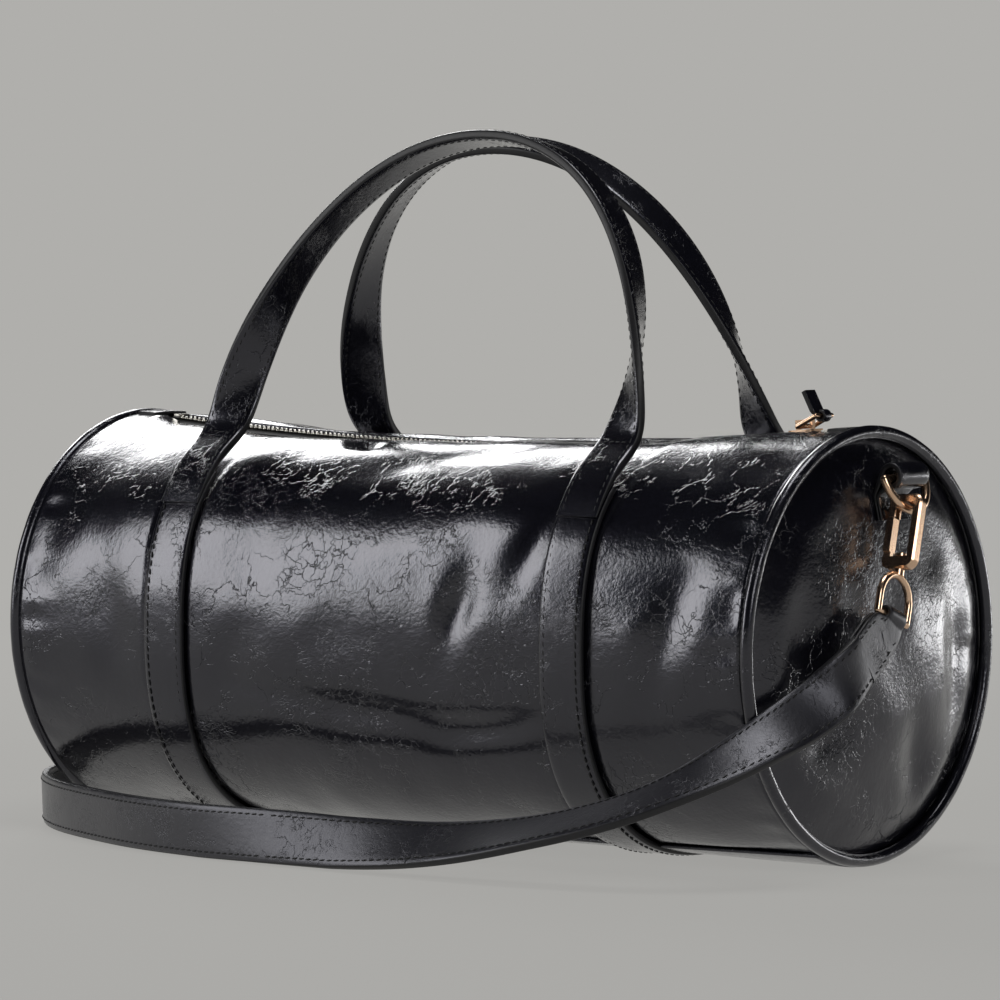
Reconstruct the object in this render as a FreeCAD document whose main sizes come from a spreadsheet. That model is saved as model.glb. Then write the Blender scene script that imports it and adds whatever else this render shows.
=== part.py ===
import FreeCAD, Part
import math
import os
import re
from types import SimpleNamespace
from FreeCAD import Placement, Rotation, Vector

# A barrel bag of crinkled black leather, lying on its base with the shoulder strap clipped on.
# X runs along the barrel, the front looks along -Y and Z is up. The origin is under the middle
# of the bag, on the surface that it stands on. The two ends are alike, half a turn apart.

doc = FreeCAD.newDocument("barrel_bag")

# Driving dimensions, in millimetres, degrees or shares
SIZES = (
    ("barrel_radius", 79.4, "leather's outside at the end seams"),
    ("barrel_length", 344, "from end seam to end seam"),
    ("leather", 1.6, "wall of every outer panel"),
    ("seam_gap", 0.1, "between layers that are sewn together"),
    ("top_drop", 7.2, "how far the soft top sinks in the middle"),
    ("side_swell", 1.5, "how far the sides bulge in the middle"),
    ("belly_lift", 2.05, "how far the belly flattens in the middle"),
    ("square_share", 0.55, "how much squarer than a circle the middle is"),
    ("fullness_share", 0.6, "part of each half over which the ends turn round"),
    ("base_seam_height", 7, "seam between the base and the side panels"),
    ("overrun", 20, "how far a cutting shape reaches past what it cuts"),
    ("piping_diameter", 4.8, "corded edge round each end"),
    ("piping_inset", 1, "cord's middle inside the barrel's outside"),
    ("piping_tail", 0.8, "flat tail of the piping in the seam"),
    ("seam_allowance", 5, "how far the seam's layers reach into the bag"),
    ("end_bulge", 14, "how far an end panel stands out"),
    ("lining", 0.6, "cloth inside the bag"),
    ("zip_margin", 10, "from each end of the mouth to the end seam"),
    ("zip_sag", 8, "how far the zip hangs in the middle"),
    ("zip_inset", 0.5, "zip's ends below the top of the barrel"),
    ("mouth_width", 13, "between the two lips of leather"),
    ("tape_width", 13, "cloth each side of the zip"),
    ("tape", 0.8, "thickness of the zip's cloth"),
    ("tape_gap", 2, "between the two tapes"),
    ("chain_margin", 8, "from the mouth's end to the first tooth"),
    ("tooth_pitch", 2.25, "from tooth to tooth on one side"),
    ("tooth_length", 1.3, "along the zip"),
    ("tooth_width", 2.5, "across the zip"),
    ("tooth_height", 1.3, "above the tape"),
    ("chain_gap", 1.4, "between the two rows, which lets the slider's post pass"),
    ("stop_length", 2.6, "metal stop at each end of the chain"),
    ("end_tab_length", 9, "leather tab over each end of the zip"),
    ("end_tab_width", 19, "across the zip"),
    ("end_tab", 1.2, "thickness of that tab"),
    ("slider_margin", 16, "from the closed slider's middle to the mouth's end"),
    ("slider_length", 11, "along the zip"),
    ("slider_width", 9.6, "across the zip"),
    ("slider_plate", 1.3, "each of its two plates"),
    ("slider_flange", 0.9, "lips at the plate's sides"),
    ("slider_corner", 2.2, "rounding of the plates"),
    ("slider_room", 0.3, "round the chain and the tape"),
    ("post_width", 0.8, "post that joins the two plates"),
    ("post_length", 2.4, "along the zip"),
    ("bridge_length", 7.6, "arch that holds the pull"),
    ("bridge_width", 1.8, "across the zip"),
    ("bridge_wall", 1.3, "metal round its eye"),
    ("pull_wire", 1.8, "wire of the pull's link"),
    ("pull_width", 10.4, "between the link's sides, middle to middle"),
    ("pull_length", 9, "between the link's ends, middle to middle"),
    ("pull_angle", 22, "how far the link is raised at rest"),
    ("pull_tab_length", 11, "leather tab on the link"),
    ("pull_tab_width", 8, "across the tab"),
    ("pull_tab", 2.2, "thickness of the tab"),
    ("pull_tab_angle", 91, "from the link back to the tab"),
    ("girth_margin", 77, "from the end seam to the middle of the strap round the barrel"),
    ("girth_width", 19, "strap sewn round the barrel"),
    ("girth", 2.8, "its thickness"),
    ("foot_place", 42, "handle's foot from the middle plane"),
    ("handle_width", 18, "flat handle"),
    ("handle", 4, "its thickness"),
    ("knuckle", 4.5, "round foot on which a handle folds"),
    ("handle_rise", 114.5, "from foot to top, along the handle's plane"),
    ("front_lean", 11.3, "front handle's lean towards the middle"),
    ("back_lean", 15.5, "back handle's lean towards the middle"),
    ("handle_power_share", 2.06, "fullness of the arch, where 2 is an ellipse"),
    ("front_shift", 17, "front arch pushed along X"),
    ("back_shift", -5, "back arch pushed along X"),
    ("twist_share", 0.78, "part of the rise over which the band turns a quarter"),
    ("seat", 0.3, "clearance where moving pieces rest"),
    ("ring_wire", 3.2, "wire of the D-rings"),
    ("ring_reach", 12.6, "from the straight bar to the bow, middle to middle"),
    ("ring_drop", 17.7, "bar of the D-ring below the top of the end seam"),
    ("ring_stand", 9.4, "bar in front of the end panel"),
    ("ring_offset", 4, "tab beside the middle plane"),
    ("ring_tilt", 22, "lower edge of the ring pushed outwards"),
    ("tab_width", 19, "leather tab that holds the ring"),
    ("tab_ply", 2.6, "leather round the ring's bar"),
    ("tab_tail", 2.2, "doubled leather sewn on the end panel"),
    ("tab_tail_length", 16, "below the bar"),
    ("clasp_lean", 20, "clasp drawn towards the strap"),
    ("clasp_tilt", 4, "clasp pushed out by the bulging end"),
    ("clasp_width", 14, "outside of the frame"),
    ("clasp_drop", 23, "from the ring's wire down to the frame's foot"),
    ("clasp_bar", 3.2, "frame's bars"),
    ("clasp_depth", 4.4, "frame from face to face"),
    ("clasp_corner", 3.6, "rounding of the frame"),
    ("clasp_bevel", 0.7, "sloping edges round the frame's faces"),
    ("hook_room", 0.5, "above the ring's wire"),
    ("clasp_foot", 4.4, "solid foot of the frame"),
    ("nose", 1.8, "hook's nose below the ring's wire"),
    ("gate_depth", 3.8, "sprung gate from face to face"),
    ("gate_width", 3, "gate's bar"),
    ("gate_neck", 1.9, "thin part of the gate in the foot's slot"),
    ("gate_neck_length", 2.2, "above the foot"),
    ("gate_pin", 1.4, "diameter of the gate's pin"),
    ("running_fit", 0.05, "all round a turning pin"),
    ("post_diameter", 2.5, "swivel's post in the frame's foot"),
    ("post_head", 4.4, "its head"),
    ("post_head_height", 1.1, "its head"),
    ("eye_wire", 2.8, "wire of the swivel's eye"),
    ("eye_reach", 9.7, "half width of the eye, middle to middle"),
    ("eye_leg", 6, "straight sides of the eye"),
    ("eye_neck", 2.2, "between the frame's foot and the eye"),
    ("strap_width", 20, "shoulder strap"),
    ("strap", 4, "its thickness"),
    ("strap_end_length", 26, "folded and sewn end"),
    ("strap_end_throat", 10, "width where it passes the eye"),
    ("strap_end_taper", 16, "length of its taper"),
    ("strap_end_lean", 36, "strap's pull beside the clasp's own line"),
)
# The strap's route, from the front of the right end to the back of the left end
STRAP_ROUTE = (
    (195.5, -45.1, 72.3),
    (188.6, -57.0, 61.6),
    (183.5, -83.0, 50.6),
    (170.5, -103.0, 39.0),
    (148.0, -117.0, 27.6),
    (114.0, -124.5, 18.4),
    (74.0, -127.5, 11.8),
    (36.0, -129.5, 10.2),
    (-4.0, -130.0, 10.2),
    (-42.0, -127.5, 10.2),
    (-78.0, -119.5, 10.2),
    (-112.0, -105.0, 10.2),
    (-144.0, -88.5, 10.2),
    (-169.5, -67.6, 10.2),
    (-186.5, -44.2, 10.2),
    (-195.5, -18.0, 10.2),
    (-196.5, 11.0, 10.2),
    (-193.5, 39.0, 10.2),
    (-186.0, 64.0, 10.2),
    (-171.0, 83.0, 10.2),
    (-149.0, 94.0, 10.2),
    (-124.0, 98.0, 10.2),
    (-101.0, 98.0, 10.2),
    (-80.7, 97.2, 10.2),
    (-72.1, 103.5, 10.2),
    (-68.8, 113.6, 10.2),
    (-72.1, 123.7, 10.2),
    (-80.7, 130.0, 10.2),
    (-98.0, 130.0, 11.6),
    (-121.0, 128.0, 17.4),
    (-144.0, 120.0, 25.6),
    (-165.0, 106.0, 36.4),
    (-183.5, 87.5, 48.8),
    (-190.2, 59.5, 61.0),
    (-195.5, 45.1, 72.3),
)
# The run of the route that lies level in front of the bag, where the strap's section is drawn
LEVEL_RUN = 8
# Part of each run that an arc may take
ARC_SHARE = 0.45
# Where the barrel's outline is drawn, as shares of its half length
STATION_SHARES = (-1, -0.86, -0.7, -0.5, -0.25, 0, 0.25, 0.5, 0.7, 0.86, 1)
OUTLINE_POINTS = 32
HANDLE_STATIONS = 31

sheet = doc.addObject("Spreadsheet::Sheet", "Sizes")
for row, (alias, number, meaning) in enumerate(SIZES, start=1):
    sheet.set(f"A{row}", alias)
    sheet.set(f"B{row}", str(number))
    sheet.setAlias(f"B{row}", alias)
    sheet.set(f"C{row}", meaning)
doc.recompute()
ALIASES = {alias for alias, number, meaning in SIZES}
s = SimpleNamespace(**{alias: float(sheet.get(alias)) for alias in ALIASES})

X, Y, Z = Vector(1, 0, 0), Vector(0, 1, 0), Vector(0, 0, 1)
ALONG_X = Rotation(Y, 90)
ALONG_Y = Rotation(X, -90)
HALF_TURN = Placement(Vector(), Rotation(Z, 180))
nodes = []


# Helpers for bound objects
def bound(text):
    """An expression in which every alias is read from the sheet."""
    return re.sub(r"[a-z_]+", lambda word: "Sizes." + word[0] if word[0] in ALIASES else word[0], text)


def tie(piece, at=None, **sizes):
    """Binds an object's sizes, and the place of its corner or centre, to the sheet."""
    for name, text in sizes.items():
        piece.setExpression(name, bound(text))
    for axis, text in zip("xyz", at or ()):
        piece.setExpression("Placement.Base." + axis, bound(text))
    return piece


def primitive(kind, at=None, turn=None, **sizes):
    """A box, cylinder, sphere or torus with bound sizes."""
    piece = doc.addObject("Part::" + kind, kind.lower())
    if turn:
        piece.Placement = Placement(Vector(), turn)
    return tie(piece, at, **sizes)


def rod(at, radius, height):
    """A round bar that runs along Y from a bound point."""
    return primitive("Cylinder", at, ALONG_Y, Radius=radius, Height=height)


def fuse(*pieces):
    whole = doc.addObject("Part::MultiFuse", "fused")
    whole.Shapes = list(pieces)
    return whole


def cut(base, tool):
    rest = doc.addObject("Part::Cut", "cut")
    rest.Base = base
    rest.Tool = tool
    return rest


def common(*pieces):
    shared = doc.addObject("Part::MultiCommon", "common")
    shared.Shapes = list(pieces)
    return shared


def node(label, piece, place=None):
    """Gives a sub-part its name and its place."""
    piece.Label = label
    if place:
        piece.Placement = place
    nodes.append(piece)
    return piece


def formed(label, shape, place=None):
    """A sub-part whose shape is worked out here from the sheet's sizes."""
    piece = doc.addObject("Part::Feature", label)
    piece.Shape = shape
    return node(label, piece, place)


def feature(body, kind, at=None, turn=None, **sizes):
    """One feature of a body, with bound sizes."""
    step = body.newObject("PartDesign::" + kind, kind.lower())
    if turn:
        step.Placement = Placement(Vector(), turn)
    tie(step, at, **sizes)
    doc.recompute()
    return step


def rounded(body, base, direction, radius):
    """Rounds every straight edge of a feature that runs along a direction."""
    picked = []
    for count, edge in enumerate(base.Shape.Edges, start=1):
        if abs(edge.tangentAt(edge.FirstParameter).dot(direction)) > 1 - 1e-6:
            picked.append(f"Edge{count}")
    fillet = body.newObject("PartDesign::Fillet", "fillet")
    fillet.Base = (base, picked)
    return tie(fillet, Radius=radius)


def bevelled(body, base, direction, size):
    """Bevels every edge of a feature that runs across a direction."""
    picked = []
    for count, edge in enumerate(base.Shape.Edges, start=1):
        if abs(edge.tangentAt(edge.FirstParameter).dot(direction)) < 1e-6:
            picked.append(f"Edge{count}")
    chamfer = body.newObject("PartDesign::Chamfer", "chamfer")
    chamfer.Base = (base, picked)
    return tie(chamfer, Size=size)


def both_ends(name, make):
    """Makes a sub-part at the right end, and again half a turn round at the left end."""
    for side, turn in (("right", Placement()), ("left", HALF_TURN)):
        piece, place = make()
        node(f"{side}_{name}", piece, turn * place)


# The barrel's soft form
axis_height = s.barrel_radius - s.piping_inset + s.piping_diameter / 2
half_length = s.barrel_length / 2
zip_half = half_length - s.zip_margin
slider_place = zip_half - s.slider_margin
girth_place = half_length - s.girth_margin
zip_end_height = axis_height + s.barrel_radius - s.zip_inset
sag_radius = (zip_half**2 + s.zip_sag**2) / (2 * s.zip_sag)
sag_centre = Vector(0, 0, zip_end_height - s.zip_sag + sag_radius)


def section_sizes(share, inset):
    """Half width, half height, middle and squareness of the outline at a share of the half length."""
    fullness = math.sin(math.pi / 2 * min(1, (1 - abs(share)) / s.fullness_share)) ** 2
    half_width = s.barrel_radius + s.side_swell * fullness - inset
    top = axis_height + s.barrel_radius - s.top_drop * (1 - share**2) ** 2 - inset
    bottom = axis_height - s.barrel_radius + s.belly_lift * fullness + inset
    return half_width, (top - bottom) / 2, (top + bottom) / 2, 2 + s.square_share * fullness


def section(share, inset):
    """A closed outline between a circle and a rounded square."""
    half_width, half_height, middle, power = section_sizes(share, inset)
    points = []
    for count in range(OUTLINE_POINTS):
        angle = 2 * math.pi * count / OUTLINE_POINTS
        across, up = math.cos(angle), math.sin(angle)
        reach = (abs(across / half_width) ** power + abs(up / half_height) ** power) ** (-1 / power)
        points.append(Vector(share * half_length, reach * across, middle + reach * up))
    curve = Part.BSplineCurve()
    curve.interpolate(points, PeriodicFlag=True)
    return Part.Wire(curve.toShape())


def cylinder_along_y(radius, centre):
    width = 2 * s.barrel_radius + 2 * s.overrun
    return Part.makeCylinder(radius, width, centre - Y * (width / 2), Y)


forms = {}


def form(inset):
    """The whole barrel, drawn in by an inset, with its top hollowed along the sagging zip."""
    if inset not in forms:
        loft = Part.makeLoft([section(share, inset) for share in STATION_SHARES], True, False)
        forms[inset] = loft.cut(cylinder_along_y(sag_radius + inset, sag_centre))
    return forms[inset]


def layer(outer, inner):
    return form(outer).cut(form(inner))


def slab(low, high):
    """A box between two corners."""
    size = high - low
    return Part.makeBox(size.x, size.y, size.z, low)


far = half_length + s.overrun
wide = s.barrel_radius + s.overrun
high = 2 * axis_height + s.overrun


# Leather panels: front, back and base
shell = layer(0, s.leather)
mouth = slab(Vector(-zip_half, -s.mouth_width / 2, axis_height), Vector(zip_half, s.mouth_width / 2, high))
sides = shell.cut(mouth)
formed("front_panel", sides.common(slab(Vector(-far, -wide, s.base_seam_height), Vector(far, 0, high))))
formed("back_panel", sides.common(slab(Vector(-far, 0, s.base_seam_height), Vector(far, wide, high))))
below_seam = slab(Vector(-far, -wide, -s.overrun), Vector(far, wide, s.base_seam_height))
formed("base_panel", shell.common(below_seam))

# Straps sewn round the barrel, from one handle's foot under the base to the other's
girth_band = layer(-s.seam_gap - s.girth, -s.seam_gap)
for side, sign in (("right", 1), ("left", -1)):
    left_edge = sign * girth_place - s.girth_width / 2
    slice_ = slab(Vector(left_edge, -wide, -s.overrun), Vector(left_edge + s.girth_width, wide, high))
    between_feet = slab(Vector(-far, -s.foot_place, axis_height), Vector(far, s.foot_place, high))
    formed(f"{side}_girth_strap", girth_band.common(slice_).cut(between_feet))

# End panels: a domed disc with a lip that is sewn into the barrel
LIP = "(barrel_radius - leather - piping_tail - 2 * seam_gap)"
DOME = f"({LIP} ^ 2 + end_bulge ^ 2) / (2 * end_bulge)"
AXIS = "(barrel_radius - piping_inset + piping_diameter / 2)"
DOME_X = f"(barrel_length / 2 + end_bulge - {DOME})"
lip_radius = s.barrel_radius - s.leather - s.piping_tail - 2 * s.seam_gap
dome_radius = (lip_radius**2 + s.end_bulge**2) / (2 * s.end_bulge)
dome_centre = Vector(half_length + s.end_bulge - dome_radius, 0, axis_height)


def dome(extra):
    return primitive("Sphere", at=(DOME_X, "0", AXIS), Radius=f"{DOME} + {extra}")


def ring_along_x(start, end, outer, inner):
    """A short tube round the barrel's axis."""
    whole = primitive("Cylinder", (start, "0", AXIS), ALONG_X, Radius=outer, Height=f"{end} - ({start})")
    bore = primitive("Cylinder", (start, "0", AXIS), ALONG_X, Radius=inner, Height=f"{end} - ({start})")
    return cut(whole, bore)


def end_panel():
    cap = common(
        cut(dome("0"), dome("(-leather)")),
        primitive(
            "Cylinder", ("barrel_length / 2", "0", AXIS), ALONG_X, Radius=LIP, Height="end_bulge + overrun"
        ),
    )
    lip = ring_along_x("barrel_length / 2 - seam_allowance", "barrel_length / 2", LIP, f"{LIP} - leather")
    return fuse(cap, lip), Placement()


def piping():
    cord = primitive(
        "Torus",
        ("barrel_length / 2 + piping_diameter / 2", "0", AXIS),
        ALONG_X,
        Radius1="barrel_radius - piping_inset",
        Radius2="piping_diameter / 2",
    )
    outside = "barrel_radius - leather - seam_gap"
    tail = ring_along_x(
        "barrel_length / 2 - seam_allowance",
        "barrel_length / 2 + piping_diameter / 2",
        outside,
        f"{outside} - piping_tail",
    )
    return fuse(cord, tail), Placement()


both_ends("end_panel", end_panel)
both_ends("piping", piping)
LINING_STARTS = {
    "right": "barrel_length / 2 - seam_allowance - lining",
    "left": "seam_allowance - barrel_length / 2",
}
for side, start in LINING_STARTS.items():
    disc = primitive("Cylinder", (start, "0", AXIS), ALONG_X, Radius=LIP, Height="lining")
    node(f"{side}_lining_end", disc)

# Zip: two tapes under the leather's lips, two rows of teeth, stops and end tabs
tape_top = s.leather + s.seam_gap
tape_bottom = tape_top + s.tape
tapes = layer(tape_top, tape_bottom)
tape_half = half_length - s.seam_allowance - s.lining - s.seam_gap
for name, sign in (("front", -1), ("back", 1)):
    edges = sorted((sign * s.tape_gap / 2, sign * (s.tape_gap / 2 + s.tape_width)))
    strip = slab(Vector(-tape_half, edges[0], axis_height), Vector(tape_half, edges[1], high))
    formed(f"{name}_zip_tape", tapes.common(strip))

chain_radius = sag_radius + tape_top


def on_zip(along):
    """The frame on the tape's upper face, that many millimetres along its arc from the middle."""
    turn = Rotation(Y, -math.degrees(along / chain_radius))
    return Placement(sag_centre + turn.multVec(Z * -chain_radius), turn)


def block_on_zip(along, length, low, high_edge, height):
    """A block on the tape, centred that far along it and reaching across between two places."""
    block = Part.makeBox(length, high_edge - low, height, Vector(-length / 2, low, s.seam_gap))
    block.Placement = on_zip(along)
    return block


chain_half = zip_half - s.chain_margin
teeth_count = int(2 * chain_half / s.tooth_pitch)
for name, sign, start in (("front", -1, 0), ("back", 1, s.tooth_pitch / 2)):
    edges = sorted((sign * s.chain_gap / 2, sign * (s.chain_gap / 2 + s.tooth_width)))
    row = []
    for count in range(teeth_count):
        along = start - chain_half + s.tooth_pitch * count
        row.append(block_on_zip(along, s.tooth_length, edges[0], edges[1], s.tooth_height))
    formed(f"{name}_zip_teeth", Part.makeCompound(row))
stop_half = s.chain_gap / 2 + s.tooth_width
stop_height = s.tooth_height + s.tape
for name, along in (("top", chain_half + s.stop_length), ("bottom", -chain_half - s.stop_length)):
    formed(f"zip_{name}_stop", block_on_zip(along, s.stop_length, -stop_half, stop_half, stop_height))

tab_layer = layer(-s.seam_gap - s.end_tab, -s.seam_gap)
for side, sign in (("right", 1), ("left", -1)):
    reach = sorted((sign * zip_half, sign * (zip_half + s.end_tab_length)))
    half = s.end_tab_width / 2
    over_end = slab(Vector(reach[0], -half, axis_height), Vector(reach[1], half, high))
    formed(f"{side}_zip_end_tab", tab_layer.common(over_end))

# Cloth lining, open along the zip and sewn to its tapes
lining_outer = tape_bottom + s.seam_gap
lining_half = half_length - s.seam_allowance - s.lining
cloth = layer(lining_outer, lining_outer + s.lining)
cloth = cloth.common(slab(Vector(-lining_half, -wide, -s.overrun), Vector(lining_half, wide, high)))
slit = (s.tape_gap / 2 + s.tape_width + s.mouth_width / 2) / 2
along_zip = slab(Vector(-zip_half, -slit, axis_height), Vector(zip_half, slit, high))
formed("lining_sleeve", cloth.cut(along_zip))

# Zip slider: two rounded plates joined by a post, with side lips and a bridge for the pull
SLIDER_TOP = "(seam_gap + tooth_height + slider_room)"
SLIDER_FOOT = "(-tape - slider_room - slider_plate)"
BRIDGE = f"({SLIDER_TOP} + slider_plate)"
EYE_HIGH = "(pull_wire + 2 * slider_room)"
slider = doc.addObject("PartDesign::Body", "slider")
plate = feature(
    slider,
    "AdditiveBox",
    ("-slider_length / 2", "-slider_width / 2", SLIDER_TOP),
    Length="slider_length",
    Width="slider_width",
    Height="slider_plate",
)
rounded(slider, plate, Z, "slider_corner")
for low_edge in ("-slider_width / 2", "slider_width / 2 - slider_flange"):
    feature(
        slider,
        "AdditiveBox",
        ("slider_corner - slider_length / 2", low_edge, "slider_room"),
        Length="slider_length - 2 * slider_corner",
        Width="slider_flange",
        Height=f"{SLIDER_TOP} + slider_plate / 2 - slider_room",
    )
feature(
    slider,
    "AdditiveBox",
    ("slider_length / 2 - slider_corner - post_length", "-post_width / 2", SLIDER_FOOT),
    Length="post_length",
    Width="post_width",
    Height=f"{SLIDER_TOP} + slider_plate / 2 - {SLIDER_FOOT}",
)
feature(
    slider,
    "AdditiveBox",
    ("slider_corner / 2 - slider_length / 2", "slider_corner / 2 - slider_width / 2", SLIDER_FOOT),
    Length="slider_length - slider_corner",
    Width="slider_width - slider_corner",
    Height="slider_plate",
)
feature(
    slider,
    "AdditiveBox",
    ("-bridge_length / 2", "-bridge_width / 2", f"{BRIDGE} - slider_plate / 2"),
    Length="bridge_length",
    Width="bridge_width",
    Height=f"slider_plate / 2 + {EYE_HIGH} + bridge_wall",
)
feature(
    slider,
    "SubtractiveBox",
    ("bridge_wall - bridge_length / 2", "-bridge_width", BRIDGE),
    Length="bridge_length - 2 * bridge_wall",
    Width="2 * bridge_width",
    Height=EYE_HIGH,
)
slider_frame = on_zip(chain_radius * math.asin(slider_place / chain_radius))
node("zip_slider", slider, slider_frame)

# Zip pull: a wire link through the bridge, with a short leather tab folded back from it
slider_top = s.seam_gap + s.tooth_height + s.slider_room + s.slider_plate
pull_pivot = Vector(0, 0, slider_top + s.slider_room + s.pull_wire / 2)
pull_frame = slider_frame * Placement(pull_pivot, Rotation(Y, -s.pull_angle))
rods = []
for end in ("0", "pull_length"):
    rods.append(rod((end, "-pull_width / 2", "0"), "pull_wire / 2", "pull_width"))
for edge in ("-pull_width / 2", "pull_width / 2"):
    leg = primitive("Cylinder", ("0", edge, "0"), ALONG_X, Radius="pull_wire / 2", Height="pull_length")
    rods.append(leg)
    for end in ("0", "pull_length"):
        rods.append(primitive("Sphere", (end, edge, "0"), Radius="pull_wire / 2"))
node("zip_pull_link", fuse(*rods), pull_frame)

roll = rod(("0", "-pull_tab_width / 2", "0"), "pull_wire / 2 + seat + pull_tab", "pull_tab_width")
leaf = primitive(
    "Box",
    ("0", "-pull_tab_width / 2", "pull_wire / 2 + seat"),
    Length="pull_tab_length",
    Width="pull_tab_width",
    Height="pull_tab",
)
bore = rod(("0", "-pull_tab_width", "0"), "pull_wire / 2 + seat", "2 * pull_tab_width")
tab_frame = pull_frame * Placement(X * s.pull_length, Rotation(Y, -s.pull_tab_angle))
node("zip_pull_tab", cut(fuse(roll, leaf), bore), tab_frame)

# Handles: a flat band that rises from two feet and turns a quarter on its way to the arch
girth_share = girth_place / half_length
half_width, half_height, middle_height, power = section_sizes(girth_share, 0)
foot_up = half_height * (1 - (s.foot_place / half_width) ** power) ** (1 / power)
slope_y = (s.foot_place / half_width) ** (power - 1) / half_width
slope_z = (foot_up / half_height) ** (power - 1) / half_height
slope = Vector(0, slope_y, slope_z)
slope.normalize()
foot_lift = s.seam_gap + s.girth + 2 * s.seat + s.knuckle / 2
foot_y = s.foot_place + foot_lift * slope.y
foot_z = middle_height + foot_up + foot_lift * slope.z


def handle_centre(angle, shift):
    """A point of the arch in its own upright plane, as a super-ellipse pushed sideways."""
    across, up = math.cos(angle), math.sin(angle)
    fullness = s.handle_power_share
    reach = (abs(across) ** fullness + abs(up) ** fullness) ** (-1 / fullness)
    return Vector(-girth_place * reach * across + shift * up, 0, s.handle_rise * reach * up)


def handle_shape(shift, way):
    """The band through flat sections, with a round foot at each end on the folding axis.

    The outer face of the feet turns a quarter, to the inner side of the arch or the other way.
    """
    sections = []
    step = math.pi / (HANDLE_STATIONS - 1)
    for count in range(HANDLE_STATIONS):
        angle = step * count
        centre = handle_centre(angle, shift)
        before, after = max(angle - step / 4, 0), min(angle + step / 4, math.pi)
        ahead = handle_centre(after, shift) - handle_centre(before, shift)
        ahead.normalize()
        risen = min(1, centre.z / (s.twist_share * s.handle_rise))
        turned = math.pi / 2 * (1 - (1 - risen) ** 2)
        inward = ahead.cross(Y) * -1
        face = Y * -math.cos(turned) + inward * (way * math.sin(turned))
        side = ahead.cross(face)
        corners = []
        for along, out in ((-1, -1), (1, -1), (1, 1), (-1, 1)):
            corners.append(centre + side * (along * s.handle_width / 2) + face * (out * s.handle / 2))
        sections.append(Part.makePolygon(corners + corners[:1]))
    band = Part.makeLoft(sections, True, False)
    for end in (-1, 1):
        start = Vector(end * girth_place - s.handle_width / 2, 0, 0)
        band = band.fuse(Part.makeCylinder(s.knuckle / 2, s.handle_width, start, X))
    return band


foot = Vector(0, -foot_y, foot_z)
formed("front_handle", handle_shape(s.front_shift, 1), Placement(foot, Rotation(X, -s.front_lean)))
back_place = HALF_TURN * Placement(foot, Rotation(X, -s.back_lean))
formed("back_handle", handle_shape(-s.back_shift, -1), back_place)

# Ring tabs: leather folded round the D-ring's bar and sewn on the end panel below it
ring_rise = s.barrel_radius - s.ring_drop
ring_dome = math.sqrt(dome_radius**2 - ring_rise**2 - s.ring_offset**2)
ring_bar = Vector(dome_centre.x + ring_dome + s.ring_stand, s.ring_offset, axis_height + ring_rise)
RING_HEIGHT = f"({AXIS} + barrel_radius - ring_drop)"
TAB_ROLL = "(ring_wire / 2 + seat + tab_ply)"


def ring_tab():
    tail = common(
        cut(dome("seam_gap + tab_tail"), dome("seam_gap")),
        primitive(
            "Box",
            ("barrel_length / 2", "ring_offset - tab_width / 2", f"{RING_HEIGHT} - tab_tail_length"),
            Length="end_bulge + overrun",
            Width="tab_width",
            Height="tab_tail_length",
        ),
    )
    roll = rod(("0", "-tab_width / 2", "0"), TAB_ROLL, "tab_width")
    web = primitive(
        "Box",
        ("-ring_stand - tab_tail / 2", "-tab_width / 2", f"-{TAB_ROLL}"),
        Length="ring_stand + tab_tail / 2",
        Width="tab_width",
        Height=f"{TAB_ROLL}",
    )
    bore = rod(("0", "-tab_width", "0"), "ring_wire / 2 + seat", "2 * tab_width")
    fold = cut(cut(fuse(roll, web), bore), dome_hollow())
    fold.Placement = Placement(ring_bar, Rotation())
    return fuse(tail, fold), Placement()


def dome_hollow():
    """The end panel's ball as it lies in the ring bar's frame."""
    ball = primitive("Sphere", Radius=f"{DOME} + seam_gap")
    ball.Placement = Placement(dome_centre - ring_bar, Rotation())
    return ball


both_ends("ring_tab", ring_tab)

# D-rings: a straight bar in the tab, and a bow that hangs from it
ring_frame = Placement(ring_bar, Rotation(Y, -s.ring_tilt))
BOW_DOWN = Rotation(Y, Z * -1, X * -1, "XYZ")
BOW_UP = Rotation(Y, Z, X, "XYZ")


def d_ring():
    bow = primitive("Torus", turn=BOW_DOWN, Radius1="ring_reach", Radius2="ring_wire / 2", Angle3="180")
    bar = rod(("0", "-ring_reach", "0"), "ring_wire / 2", "2 * ring_reach")
    ends = ("-ring_reach", "ring_reach")
    corners = [primitive("Sphere", ("0", end, "0"), Radius="ring_wire / 2") for end in ends]
    return fuse(bow, bar, *corners), ring_frame


both_ends("d_ring", d_ring)

# Swivel clasps. Their own frame has the ring's wire at the origin and hangs down along -Z,
# with the spine on +X, away from the bag, and the sprung gate on -X.
lean_angle, tilt_angle = math.radians(s.clasp_lean), math.radians(s.clasp_tilt)
bow_point = ring_frame.multVec(Vector(0, -math.sin(lean_angle), -math.cos(lean_angle)) * s.ring_reach)
clasp_down = Vector(
    math.cos(lean_angle) * math.sin(tilt_angle),
    -math.sin(lean_angle),
    -math.cos(lean_angle) * math.cos(tilt_angle),
)
bow_tangent = Vector(0, math.cos(lean_angle), -math.sin(lean_angle))
clasp_frame = Placement(bow_point, Rotation(Vector(), bow_tangent, clasp_down * -1, "ZYX"))
FOOT_TOP = "(clasp_foot - clasp_drop)"
PIN_X = "(gate_width / 2 - clasp_width / 2)"
PIN_Z = "(clasp_foot / 2 - clasp_drop)"
NOSE = "(-ring_wire / 2 - nose)"


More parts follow.
